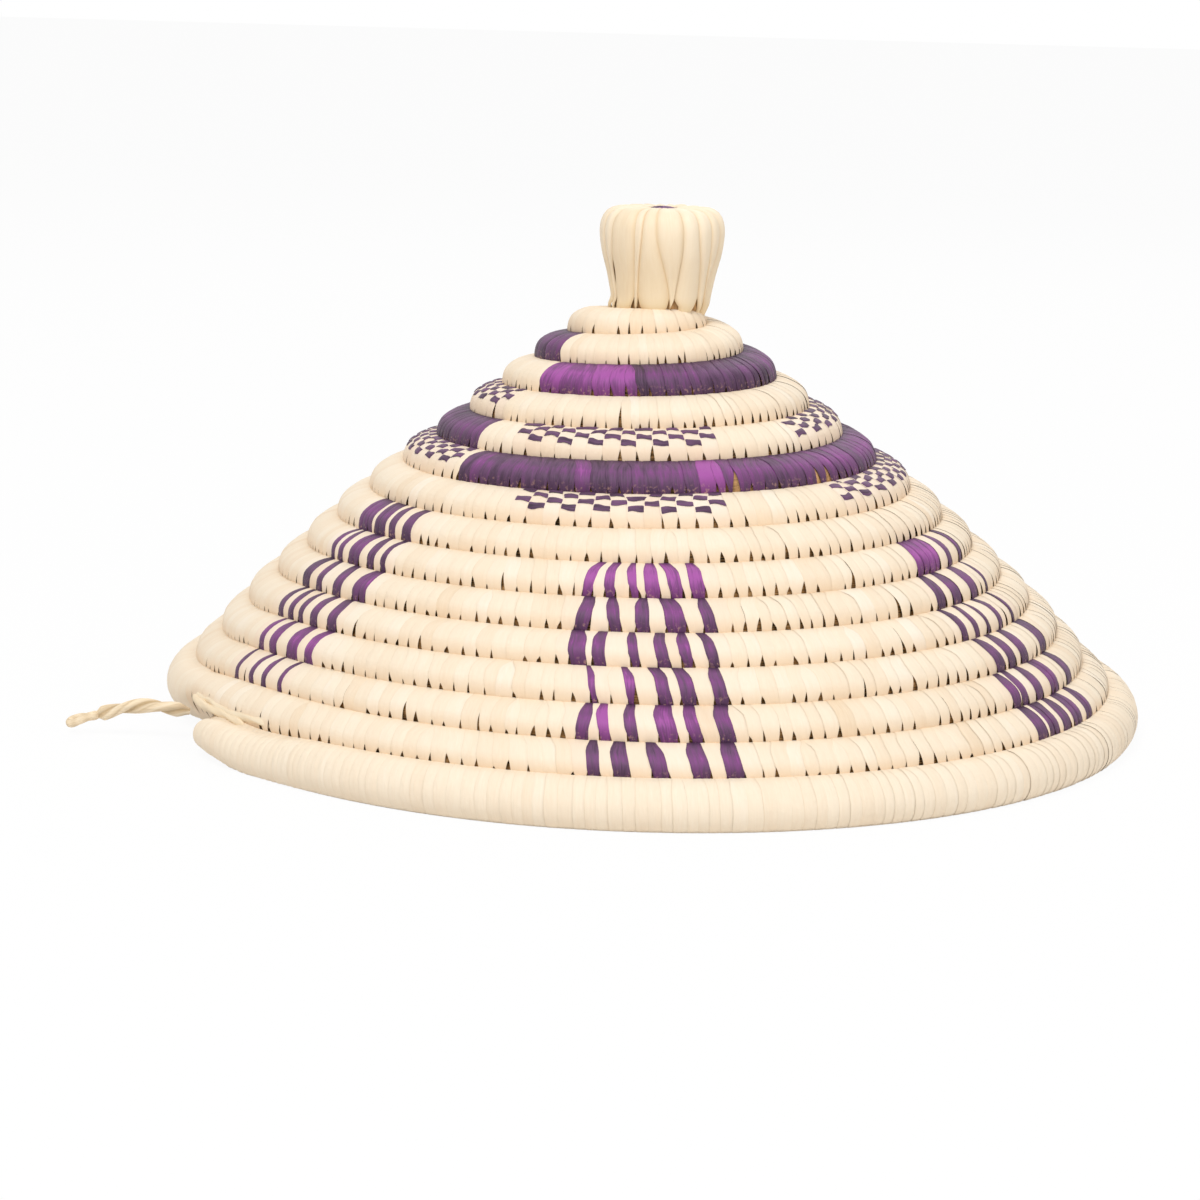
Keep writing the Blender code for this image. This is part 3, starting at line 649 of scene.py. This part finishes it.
def hidden_stripes(row, middle):
    """Stripes of a group on the far side, in the same manner as those in view."""
    own = np.random.default_rng(700 + 31 * row + middle)
    width = 360.0 / (1000 * girth(turn_at(row, middle)))
    place, stripes = middle - own.uniform(17, 21) * width, []
    for _ in range(own.integers(4, 7)):
        size = own.uniform(2.4, 4.6) * width
        stripes.append((place, place + size, own.choice(HIDDEN_TONES), own.uniform(-1, 2.5)))
        place += size + own.uniform(3.6, 5.6) * width
    return stripes


def all_stripes():
    """All violet stripes, as (first turn, last turn, tone, lean), in order along the coil."""
    groups = list(STRIPES.items())
    groups += [(row, hidden_stripes(row, middle)) for row in STRIPES for middle in HIDDEN_AZIMUTHS]
    edge = STRIPE_WIDENED / girth(STRIPE_ROW)
    return sorted((turn_at(row, high) - edge, turn_at(row, low) + edge, tone, lean * MM)
                  for row, stripes in groups for low, high, tone, lean in stripes)


MOST_AT_ONCE, SHORTEST_SPAN = 40, 0.0002
# Pitch of the strips in a span and how much their widths differ
FILLS = {"band": (4.4 * MM, 0.3), "check": (5.45 * MM, 0.08), "stripe": (3.6 * MM, 0.2)}
RIM_PITCH, NATURAL_SPREAD, WIDE_STRIPE = 4.0 * MM, 0.22, 6.5 * MM


def fill(first, last, pitch, spread):
    """Borders of strips that fill a span, each about the pitch wide."""
    count = max(1, round((last - first) * girth(0.5 * (first + last)) / pitch))
    if count > MOST_AT_ONCE:
        middle = 0.5 * (first + last)
        return fill(first, middle, pitch, spread)[:-1] + fill(middle, last, pitch, spread)
    shares = np.cumsum(rng.uniform(1 - spread, 1 + spread, count))
    return [first, *(first + (last - first) * shares / shares[-1])]


def lay_strips(stripes):
    """Borders of all strips in order along the coil, with each strip's kind and tone."""
    spans = [(*band, "band", 0) for band in BANDS]
    spans += [(first, first + length, "check", 0) for first, length in CHECK_PATCHES]
    spans += [(first, last, "stripe", tone) for first, last, tone, _ in stripes]
    spans += [(RIM_TURN - 0.0001, RIM_TURN, "natural", 0), (TURNS, TURNS, "end", 0)]
    turns, kinds, tones = [START_TURN], [], []

    def add(borders, kind, tone):
        turns.extend(borders[1:])
        kinds.extend([kind] * (len(borders) - 1))
        tones.extend([tone] * (len(borders) - 1))

    for first, last, kind, tone in sorted(spans):
        at = turns[-1]
        if first > at + SHORTEST_SPAN:
            pitch = RIM_PITCH if at >= RIM_TURN - 0.001 else float(np.interp(at, *PITCH))
            add(fill(at, first, pitch, NATURAL_SPREAD), "natural", 0)
        if last - turns[-1] > SHORTEST_SPAN:
            single = kind == "stripe" and (last - first) * girth(first) <= WIDE_STRIPE
            add([turns[-1], last] if single else fill(turns[-1], last, *FILLS[kind]), kind, tone)
    return np.array(turns), np.array(kinds), np.array(tones, float)


def nearest(values, wanted):
    """The value nearest to each one wanted."""
    place = np.clip(np.searchsorted(values, wanted), 1, len(values) - 1)
    low, high = values[place - 1], values[place]
    return np.where(wanted - low < high - wanted, low, high)


USUAL_LEAN, FAR_APART = 0.5 * MM, 30 * MM
TIP_LIMIT, STRIPE_TIP, STRIPE_TIP_LIMIT = 0.55, 0.31, 1.5 * MM
USUAL_PITCH, PLAIN_TURNS = 4.6 * MM, 0.55


def edge_leans(borders, dyed, stripes):
    """How far each border leans over one row: as the stripes beside it do, or else a little to one side."""
    places, leans, previous = [], [], 0.0
    for first, last, _, lean in stripes:
        if (first - previous) * girth(first) > FAR_APART:
            between = [previous + 0.01, first - 0.01] if previous else [first - 0.01]
            places += between
            leans += [USUAL_LEAN] * len(between)
        places += [first, last]
        leans += [lean, lean]
        previous = last
    lean = np.interp(borders, places, leans)
    wander = np.interp(borders, np.arange(0, 16, 0.05), rng.normal(0, 0.5 * MM, 320))
    return np.where(dyed, lean, lean + wander + rng.normal(0, 0.22 * MM, len(borders)))


def edge_tips(borders, kinds):
    """How far each border's top moves to a stitch of the turn above, a stripe's two to the same one."""
    length, middles = girth(borders), 0.5 * (borders[1:] + borders[:-1])
    limit = TIP_LIMIT * np.interp(borders, *PITCH)
    tip = np.clip((nearest(middles, borders - 1) + 1 - borders) * length, -limit, limit)
    over = nearest(borders, middles - 1) + 1
    for index in np.flatnonzero(kinds == "stripe"):
        size = (borders[index + 1] - borders[index]) * length[index + 1]
        for border, side in ((index, -1), (index + 1, 1)):
            aim = over[index] + side * STRIPE_TIP * size / length[index]
            tip[border] = np.clip((aim - borders[border]) * length[border], -STRIPE_TIP_LIMIT, STRIPE_TIP_LIMIT)
    tip[borders < 1.0] = 0
    return tip


def edge_openings(borders, dyed, band):
    """The opening at each border's foot: its half width, the place where it starts, and the slit above it."""
    count = len(borders)
    gap = rng.uniform(0.55, 1.15, count) * (np.interp(borders, *PITCH) / USUAL_PITCH)
    start = rng.uniform(0.18, 0.37, count)
    chance, loose = rng.random(count), borders > 8
    gap = np.where(chance < 0.05, 0.0, gap)
    start = np.where((chance > 0.95) & loose, rng.uniform(-0.1, 0.05, count), start)
    slit = np.where((chance > 0.86) & (chance < 0.885) & loose, rng.uniform(0.24, 0.34, count), 0.0)
    for chosen, gaps, starts in ((band, (0.25, 0.95), (0.12, 0.36)), (dyed, (0.35, 0.8), (0.2, 0.36))):
        gap = np.where(chosen, rng.uniform(*gaps, count), gap)
        start = np.where(chosen, rng.uniform(*starts, count), start)
        slit = np.where(chosen, 0.0, slit)
    for turn, begin, width in OPENINGS:
        index = int(np.argmin(np.abs(borders - turn)))
        gap[index], start[index], slit[index] = width, begin, 0.0
    closed = (borders > RIM_TURN - 0.002) | (borders < PLAIN_TURNS)
    return np.where(closed, 0.0, gap) * MM, start, np.where(closed, 0.0, slit) * MM


def edge_traits(borders, kinds, stripes):
    """What each border between two strips has of its own."""
    before, after = np.concatenate([[""], kinds]), np.concatenate([kinds, [""]])
    dyed = (before == "stripe") | (after == "stripe")
    band = (before == "band") & (after == "band")
    calm = np.where(borders > RIM_TURN - 0.002, 0.3, 1.0)
    lean = calm * edge_leans(borders, dyed, stripes)
    tip = calm * edge_tips(borders, kinds)
    gap, start, slit = edge_openings(borders, dyed, band)
    return {"turn": borders, "lean": lean, "tip": tip, "gap": gap, "start": start, "slit": slit,
            "round": rng.uniform(0.6, 1.3, len(borders)), "skew": rng.uniform(-0.6, 0.6, len(borders))}


stripes = all_stripes()
borders, kinds, tones = lay_strips(stripes)
edges = edge_traits(borders, kinds, stripes)
count = len(kinds)
turns = 0.5 * (borders[1:] + borders[:-1])
halves = 0.5 * np.diff(borders) * girth(turns)
band = kinds == "band"
dyed = band | (kinds == "stripe")
# Tone of each strip: its dye's, or that of the natural strips, which differ less along the rim
tones = np.where(band, [band_tone(turn) for turn in turns], tones)
tones = np.where(dyed, tones + rng.normal(0, np.where(band, 0.1, 0.03), count),
                 np.clip(rng.normal(0.6, np.where(turns > RIM_TURN, 0.06, 0.13), count), 0, 1))
# How much dye natural strips took from the stripes and strands beside them
near = np.zeros(count)
for first, last, _, _ in stripes:
    near = np.maximum(near, 1 - np.abs(turns - 0.5 * (first + last)) * girth(turns) / (7 * MM))
blush = np.where(dyed, 0.0, np.clip(near, 0, 1) * 0.8 + np.where(kinds == "check", 0.45, 0.0))
blush = blush * rng.uniform(0.4, 1.0, count)
points = strip_points(edges, {
    "crown": np.where(dyed | (turns > 14.92), rng.uniform(0.1, 0.22, count), rng.uniform(0.05, 0.14, count)) * MM,
    "tilt": np.where(dyed, rng.normal(0.1, 0.03, count), rng.normal(0.08, 0.03, count)) * MM,
    "lift": rng.normal(0, 0.03, count) * MM,
})
# Painted light down each strip: dyed ones get a painted highlight at the crest and painted shade at the top, and all
# get painted shade at foot and top, less so on the rim
down, on_rim = STATIONS[:, 0], (turns > RIM_TURN)[:, None]
# Painted highlight along the dyed strips' crest, and painted shade where they come out from under the row above
painted_sheen_and_shade = 0.17 * np.exp(-((down - 0.04) / 0.12) ** 2) - 0.1 * smooth((-0.2 - down) / 0.3)
tones = tones[:, None] + dyed[:, None] * np.where(OUTER, painted_sheen_and_shade, 0.0)
# Painted shade towards each strip's foot, where it dips into the groove, and half as much over the coil's inner side
lows = np.where(OUTER, smooth((down - 0.1) / 0.42), 0.5) * np.where(on_rim, 0.15, 1.0)
# Painted shade at each strip's top, where it comes out from under the row above
tops = np.where(OUTER, smooth((-0.28 - down) / 0.24), 0.0) * np.where(on_rim, 0.5, 1.0)
# Painted shade along one edge of each strip, where it meets the next
seams = rng.uniform(0.2, 1.0, count)[:, None, None] * (ACROSS > 0.95)

BUNDLE_STEPS, BUNDLE_SHOWN_FROM, BUNDLE_SHOWN_SIZE = 260, 1.15, 3 * MM
BUNDLE_DOWNS = np.array((-0.47, -0.42, -0.3, -0.12, 0.06, 0.2, 0.3, 0.37, 0.43, 0.475))


def add_bundle(name, first, last):
    """The grass bundle inside the strips. It swells up to the surface where it shows, and its end is closed."""
    steps = max(int((last - first) * BUNDLE_STEPS), 8)
    turn = np.linspace(first, last, steps)[:, None]
    down = np.concatenate([BUNDLE_DOWNS, BUNDLE_DOWNS[::-1], BUNDLE_DOWNS[:1]])
    outer = np.arange(len(down)) < len(BUNDLE_DOWNS)
    outer[-1] = True
    shown = np.zeros((steps, 1))
    for spot, _, width in OPENINGS:
        if width > BUNDLE_SHOWN_FROM:
            shown = np.maximum(shown, np.exp(-((turn - spot) * girth(turn) / BUNDLE_SHOWN_SIZE) ** 2))
    recess = (0.55 + (0.9 - 0.7 * shown) * smooth((down - 0.12) / 0.3)) * MM
    lift = np.where(outer, outer_height(turn, down) - recess, 0.7 * MM - inner_height(turn, down))
    angle = np.linspace(0, 360, len(down))
    grid = wrapped(turn, down, lift, coil_size(turn) - 0.6 * MM, angle, rim_share(turn), BUNDLE_FLOOR)
    # Painted light: the bundle is lighter orange where it shows through a wide opening
    painted_light = 0.8 * shown
    if last == TURNS:
        close = np.broadcast_to(grid[-1:].mean(1, keepdims=True), grid[-1:].shape)
        grid, painted_light = np.concatenate([grid, close]), np.concatenate([painted_light, painted_light[-1:]])
    bundle = mesh_object(name + "_bundle", grid[None], 0.02, BUNDLE, tone=painted_light[None])
    settle(bundle, "cover", name)


def add_strips(name, suffix, chosen, material):
    """The chosen strips of one length of the coil, if it has any."""
    if chosen.any():
        piece = mesh_object(
            name + suffix, points[chosen], halves[chosen], material, tone=tones[chosen], low=lows[chosen],
            top=tops[chosen], seam=seams[chosen], blush=blush[chosen])
        settle(piece, "cover", name)


for name, first, last in COIL_LENGTHS:
    inside = (turns >= first) & (turns < last)
    add_bundle(name, first, last)
    add_strips(name, "_strips", inside & ~dyed, NATURAL)
    add_strips(name, "_dyed_strips", inside & dyed, VIOLET)


# Checker patches: strands that run along the coil, over one stitch and under the next
STRAND_ROWS, STRAND_HALF, STRAND_EDGE_DROP = (-0.43, -0.25, -0.065, 0.125), 0.084, 0.14 * MM
# A strand's way over one stitch: (share of the stitch's width, rise in mm). Under a stitch it is hidden
CELL = np.array(((0.0, -0.1), (0.04, 0.2), (0.12, 0.34), (0.3, 0.4), (0.5, 0.42), (0.7, 0.4), (0.88, 0.34),
                 (0.96, 0.2)))
STRAND_HIDDEN, STRAND_END = -0.7, -0.4


def strand_grid(cells, strand, row):
    """One strand of a patch between the borders of its stitches."""
    turn, rise = [], []
    for number, index in enumerate(cells[:-1]):
        over = (number + strand) % 2 == 0
        for part, height in CELL:
            turn.append(borders[index] + (borders[index + 1] - borders[index]) * part)
            rise.append(height if over or part == 0 else STRAND_HIDDEN)
    turn, rise = np.array((turn + [borders[cells[-1]]], rise + [STRAND_END]))[..., None]
    across = np.array((-1.0, -0.8, 0.0, 0.8, 1.0))
    sway = row + 0.022 * np.sin(turn * 260 + 2.1 * strand) + 0.012 * np.sin(turn * 617 + 1.3 * strand)
    down = sway + STRAND_HALF * across * (1 + 0.16 * np.sin(turn * 500 + strand))
    tip = np.interp(turn, borders, edges["tip"]) * top_share(down)
    lean = np.interp(turn, borders, edges["lean"]) * down
    moved = turn + (tip - lean) / girth(turn)
    place, normal = wall_at(moved, down)
    lift = outer_height(moved, down) + rise * MM - STRAND_EDGE_DROP * np.abs(across) ** 6
    flat = place + normal * lift[..., None]
    return around(azimuth_of(moved), flat[..., 0], flat[..., 1])


def add_checks(name, first, last):
    """The violet strands of all patches whose stitches belong to one length of the coil."""
    grids, tints = [], []
    for start, length in CHECK_PATCHES:
        if first - 0.01 < start < last - 0.01:
            cells = np.flatnonzero((borders >= start - 1e-6) & (borders <= start + length + 1e-6))
            for strand, row in enumerate(STRAND_ROWS):
                grids.append(strand_grid(cells, strand, row))
                tints.append(rng.uniform(0.16, 0.38))
    longest = max(len(grid) for grid in grids)
    grids = [np.concatenate([grid, np.repeat(grid[-1:], longest - len(grid), axis=0)]) for grid in grids]
    piece = mesh_object(name + "_checks", np.stack(grids), 0.001, VIOLET, tone=np.array(tints))
    settle(piece, "cover", name)


for name, first, last in COIL_LENGTHS:
    if name in ("collar_coil", "shoulder_coil"):
        add_checks(name, first, last)


# Knob
KNOB_OUTLINE = (
    (0.0, 0.0329), (0.006, 0.033), (0.012, 0.033), (0.0165, 0.0327), (0.0193, 0.0313), (0.021, 0.0287),
    (0.0216, 0.0255), (0.0215, 0.0223), (0.0209, 0.0179), (0.0199, 0.0136), (0.0189, 0.0098), (0.018, 0.0054),
    (0.0174, 0.0022), (0.0171, 0.0), (0.0165, -0.0014), (0.0156, -0.0024),
)
KNOB_WIDTHS = (18, 18, 26, 10, 13, 23, 22, 14, 12, 24, 20, 14, 22, 16, 12, 19, 15, 21, 13, 17, 11)
# Borders between the knob's strips: their number and how many degrees their foot and their middle lie to the right
KNOB_FEET = {0: (-6, 0), 1: (4, 2), 2: (-9, 0), 3: (-4, 1), 4: (-11, 0), 5: (16, 0), 6: (-3, 2), 7: (11, -2),
             8: (8, 0), 9: (-5, 2)}
# Openings between the knob's strips: border, place down its outline, half length there and half width in mm
KNOB_SLITS = ((2, 0.745, 0.1, 0.62), (6, 0.985, 0.06, 1.0), (7, 1.0, 0.035, 0.8), (4, 1.0, 0.035, 0.9),
              (3, 1.0, 0.03, 0.6), (5, 1.0, 0.03, 0.7), (1, 1.0, 0.04, 0.7), (12, 0.98, 0.06, 0.9),
              (16, 0.99, 0.05, 0.8))
KNOB_STEPS, KNOB_OVERLAP = 400, 0.1 * MM
KNOB_BULGE, KNOB_EDGE_DROP, KNOB_SUNK, KNOB_FOLD = 0.5 * MM, 0.32 * MM, 0.15 * MM, 0.14 * MM
FLARE, FLARE_AZIMUTH, FLARE_SPREAD, FOOT_DROP = 2.4 * MM, -72, 30, 1.2 * MM
# The core's foot and its stem through the crown: (radius, level)
KNOB_STEM = ((0.015, -0.005), (0.0125, -0.0095), (0.009, -0.0105), (0.009, -0.0125), (0.006, -0.0145),
             (0.0002, -0.015))
CORE_SIDE, CORE_TOP, CORE_STALKS = 1.5 * MM, 1.4 * MM, 36
STALKS_OUT, STALKS_AZIMUTH, STALKS_SPREAD = 4.5 * MM, 245, 70
BUTTON_STITCHES, BUTTON_LEVEL, BUTTON_DOME, BUTTON_FOOT = 14, 0.0334, 0.0011, 0.9 * MM


def round_knob(angle, reach, height):
    """Points round the knob's own axis."""
    return np.stack(np.broadcast_arrays(reach * np.sin(angle), -reach * np.cos(angle), height), -1) + KNOB_PLACE


def knob_border(number, down):
    """Azimuth in degrees of the border before a strip of the knob, and the strips' draw-back from it in metres."""
    turned = number % len(KNOB_WIDTHS)
    own = np.random.default_rng(90 + turned)
    foot, middle = KNOB_FEET.get(turned, (own.uniform(-7, 7), own.uniform(-3, 3)))
    start = sum(KNOB_WIDTHS[:turned]) - 90 + 360 * (number // len(KNOB_WIDTHS))
    azimuth = start + foot * smooth((down - 0.45) / 0.55) + middle * np.sin(np.pi * down)
    azimuth = azimuth + own.uniform(0.5, 1.3) * np.sin(own.uniform(5, 9) * down + own.uniform(0, 6))
    back = np.full(down.shape, -KNOB_OVERLAP)
    for which, place, reach, width in KNOB_SLITS:
        if which == turned:
            back = back + (width + 0.1) * MM * np.clip(1 - ((down - place) / reach) ** 2, 0, 1)
    return azimuth, back


def add_knob_strip(number):
    """One broad strip from the knob's top to its foot, crowned across, with a fold and a narrow foot."""
    line, _ = smooth_line(KNOB_OUTLINE, KNOB_STEPS)
    down = np.concatenate([np.linspace(0.09, 0.6, 16), np.linspace(0.63, 1.0, 18)])[:, None]
    shares, (right, rise) = np.linspace(0, 1, KNOB_STEPS), np.gradient(line, axis=0).T
    radius, level, out, up = (np.interp(down, shares, column) for column in (*line.T, -rise, right))
    size = np.hypot(out, up)
    out, up = out / size, up / size
    first, back_first = knob_border(number, down)
    last, back_last = knob_border(number + 1, down)
    first = first + np.degrees(back_first / radius)
    last = last - np.degrees(back_last / radius)
    across = np.linspace(-1, 1, 11)
    own = np.random.default_rng(40 + number)
    narrow = 1 - own.uniform(0.16, 0.34) * smooth((down - 0.88) / 0.09)
    azimuth = 0.5 * (first + last) + 0.5 * narrow * (last - first) * across
    wide = np.clip((last - first) / 20, 0.4, 1.1)
    bulge = KNOB_BULGE * wide * smooth(down / 0.3)
    lift = bulge * (1 - across ** 2) - KNOB_EDGE_DROP * np.abs(across) ** 7 - KNOB_SUNK
    fold = KNOB_FOLD * np.sin(across * own.uniform(3, 5) + own.uniform(0, 6)) * smooth(down / 0.4)
    lift = lift + fold + own.uniform(-0.12, 0.12) * MM
    flare = FLARE * smooth((down - 0.9) / 0.1) * np.exp(-((azimuth - FLARE_AZIMUTH) / FLARE_SPREAD) ** 2)
    reach = radius + lift * out + flare
    height = level + lift * up - FOOT_DROP * smooth((down - 0.97) / 0.03)
    # Painted shade: towards the knob's foot, at its top where the strips go under the button, and in the valleys
    # between strips
    low = 0.45 * smooth((down - 0.3) / 0.5) + 0.55 * smooth((down - 0.88) / 0.1)
    name = f"knob_strip_{number + 1:02d}"
    piece = mesh_object(
        name + "_raffia", round_knob(np.radians(azimuth), reach, height)[None], 0.003, BROAD,
        tone=own.uniform(0.35, 0.85), low=low[None], top=smooth((0.16 - down) / 0.1)[None],
        seam=0.9 * np.abs(across[None, None]) ** 5)
    settle(piece, "cover", name)


def add_knob_core():
    """The bundle stub inside the knob's strips and its stem, whose stalks close the crown where the coil starts."""
    line, _ = smooth_line(KNOB_OUTLINE, 60)
    line = line[line[:, 0] > 0.0005]
    core = np.stack([line[:, 0] - CORE_SIDE * smooth(line[:, 0] / 0.01), line[:, 1] - CORE_TOP], -1)
    radius, level = np.concatenate([core, KNOB_STEM]).T[..., None]
    angle = np.radians(np.linspace(0, 360, 4 * CORE_STALKS + 1))
    reach = radius * (1 + 0.012 * np.sin(CORE_STALKS * angle) * smooth(radius / 0.01))
    reach[1 - len(KNOB_STEM)] += STALKS_OUT * np.exp(-((np.degrees(angle) - STALKS_AZIMUTH) / STALKS_SPREAD) ** 2)
    grid = round_knob(angle, reach, level)
    core = mesh_object("knob_core_bundle", grid[None], 0.05, BUNDLE, tone=0.4)
    settle(core, "cover", "knob_core")


def add_knob_button():
    """Dyed stitches that close the middle of the knob's top."""
    across, down = np.linspace(-1, 1, 5)[None, :], np.linspace(0, 1, 9)[:, None]
    reach = (0.3 + 4.7 * down) * MM
    height = BUTTON_LEVEL - BUTTON_DOME * down ** 2.5 + 0.12 * MM * (1 - across ** 2) * down + 0.05 * MM * across
    height = height - BUTTON_FOOT * smooth((down - 0.9) / 0.1)
    grids = [round_knob(2 * np.pi * (number + 0.5 * across * 1.08) / BUTTON_STITCHES, reach, height)
             for number in range(BUTTON_STITCHES)]
    # Painted shade along the edges between the button's stitches
    button = mesh_object(
        "knob_button_stitches", np.stack(grids), 0.001, VIOLET,
        tone=rng.uniform(0.35, 0.65, BUTTON_STITCHES), seam=(np.abs(across) > 0.9)[None])
    settle(button, "cover", "knob_button")


for number in range(len(KNOB_WIDTHS)):
    add_knob_strip(number)
add_knob_core()
add_knob_button()


# The loop's strands, sewn in along the groove above the rim coil
LASHING_FROM, LASHING_TO = -47.5, -65.6
LASHING_STEPS, LASHING_SIDES = 70, 19
# Which side of the groove's middle a strand lies on, the share of the way where it comes out, and its tone
LASHING_STRANDS = ((1, 0.0, 0.75), (-1, 0.22, 0.6))


def lashing_grid(side, begin):
    """One strand, which comes out of the groove where it begins and gets thicker towards the loop."""
    parts = np.linspace(0, 1, LASHING_STEPS)
    azimuth = LASHING_FROM + (LASHING_TO - LASHING_FROM) * parts
    rim_turn = turn_at(TURNS, azimuth)
    low = section(rim_turn)
    up, out, apart = row_axes(low, section(turn_at(RIM_TURN, azimuth)))
    shown = smooth((parts - begin) / 0.12)
    radius = (1.15 + 0.35 * parts) * MM * (0.25 + 0.75 * shown)
    swing = np.sin(parts * 9 + (0 if side > 0 else np.pi)) * 0.35 * MM
    rise = 0.52 * apart[:, 0] + side * 1.05 * MM * (1 - 0.5 * smooth((parts - 0.8) / 0.2)) + swing
    depth = coil_size(rim_turn) * 0.6 + 1.4 * MM * shown - 2.0 * MM * (1 - shown)
    flat = low + up * rise[:, None] + out * depth[:, None]
    return tube(around(azimuth, flat[:, 0], flat[:, 1]),
                lambda angle, share: radius[:, None] * (1 + 0.1 * np.sin(3 * angle + 26 * share)), LASHING_SIDES)


def add_lashing():
    grids = np.stack([lashing_grid(side, begin) for side, begin, _ in LASHING_STRANDS])
    tones = np.array([tone for _, _, tone in LASHING_STRANDS])
    lashing = mesh_object("loop_lashing_strands", grids, 0.004, CORD, tone=tones)
    settle(lashing, "cover", "loop_lashing")


add_lashing()


# Floor and light
FLOOR_SIZE, FLOOR_COLOUR, FLOOR_GLOW = 40.0, (0.86, 0.86, 0.86, 1), 0.94
WORLD_COLOUR, WORLD_STRENGTH, WHITE = (1.0, 0.99, 0.975, 1), 0.52, (1, 1, 1, 1)
LAMP_AIM = Vector((0, 0, 0.06))
# Name, place, size in metres and power in watts
LAMPS = (("key", (-0.5, -1.2, 2.1), 1.0, 30.2), ("fill", (1.4, -1.6, 1.1), 1.4, 11), ("back", (0.3, 1.6, 1.6), 1.4, 9))


def ray_share(nodes, first, *others):
    """1 for these kinds of rays and 0 for the rest."""
    path = nodes.node("ShaderNodeLightPath")
    share = path.outputs[first]
    for other in others:
        share = nodes.plus(share, path.outputs[other], clamp=True)
    return share


def blend_into(nodes, share, first, second, output):
    """Shows the second of two shaders to a share of the rays and the first to the rest."""
    blend = nodes.node("ShaderNodeMixShader", {"Fac": share, 1: first, 2: second})
    nodes.set(nodes.tree.nodes[output], {"Surface": blend.outputs["Shader"]})


def add_floor():
    bpy.ops.mesh.primitive_plane_add(size=FLOOR_SIZE, location=(0, 0, 0))
    floor = bpy.context.object
    floor.name = "studio_floor"
    shader = Shader("studio_floor", 0.9, 0.1)
    shader.colour(FLOOR_COLOUR)
    seen = ray_share(shader, "Is Camera Ray", "Is Glossy Ray", "Is Transmission Ray")
    glow = shader.node("ShaderNodeEmission", {"Color": WHITE})
    blend_into(shader, shader.times(seen, FLOOR_GLOW), shader.surface.outputs["BSDF"],
               glow.outputs["Emission"], "Material Output")
    floor.data.materials.append(shader.material)


def add_world():
    world = bpy.data.worlds.new("studio")
    world.use_nodes = True
    nodes = Nodes(world.node_tree)
    lit = nodes.tree.nodes["Background"]
    nodes.set(lit, {"Color": WORLD_COLOUR, "Strength": WORLD_STRENGTH})
    white = nodes.node("ShaderNodeBackground", {"Color": WHITE, "Strength": 1.0})
    seen = ray_share(nodes, "Is Camera Ray", "Is Glossy Ray")
    blend_into(nodes, seen, lit.outputs["Background"], white.outputs["Background"], "World Output")
    bpy.context.scene.world = world


def add_lamp(name, place, size, power):
    data = bpy.data.lights.new(name, "AREA")
    data.energy = power
    data.size = size
    lamp = bpy.data.objects.new(name, data)
    bpy.context.scene.collection.objects.link(lamp)
    lamp.location = place
    lamp.rotation_euler = (LAMP_AIM - Vector(place)).to_track_quat("-Z", "Y").to_euler()


add_floor()
add_world()
for lamp in LAMPS:
    add_lamp(*lamp)

bpy.context.scene.view_settings.view_transform = "Standard"
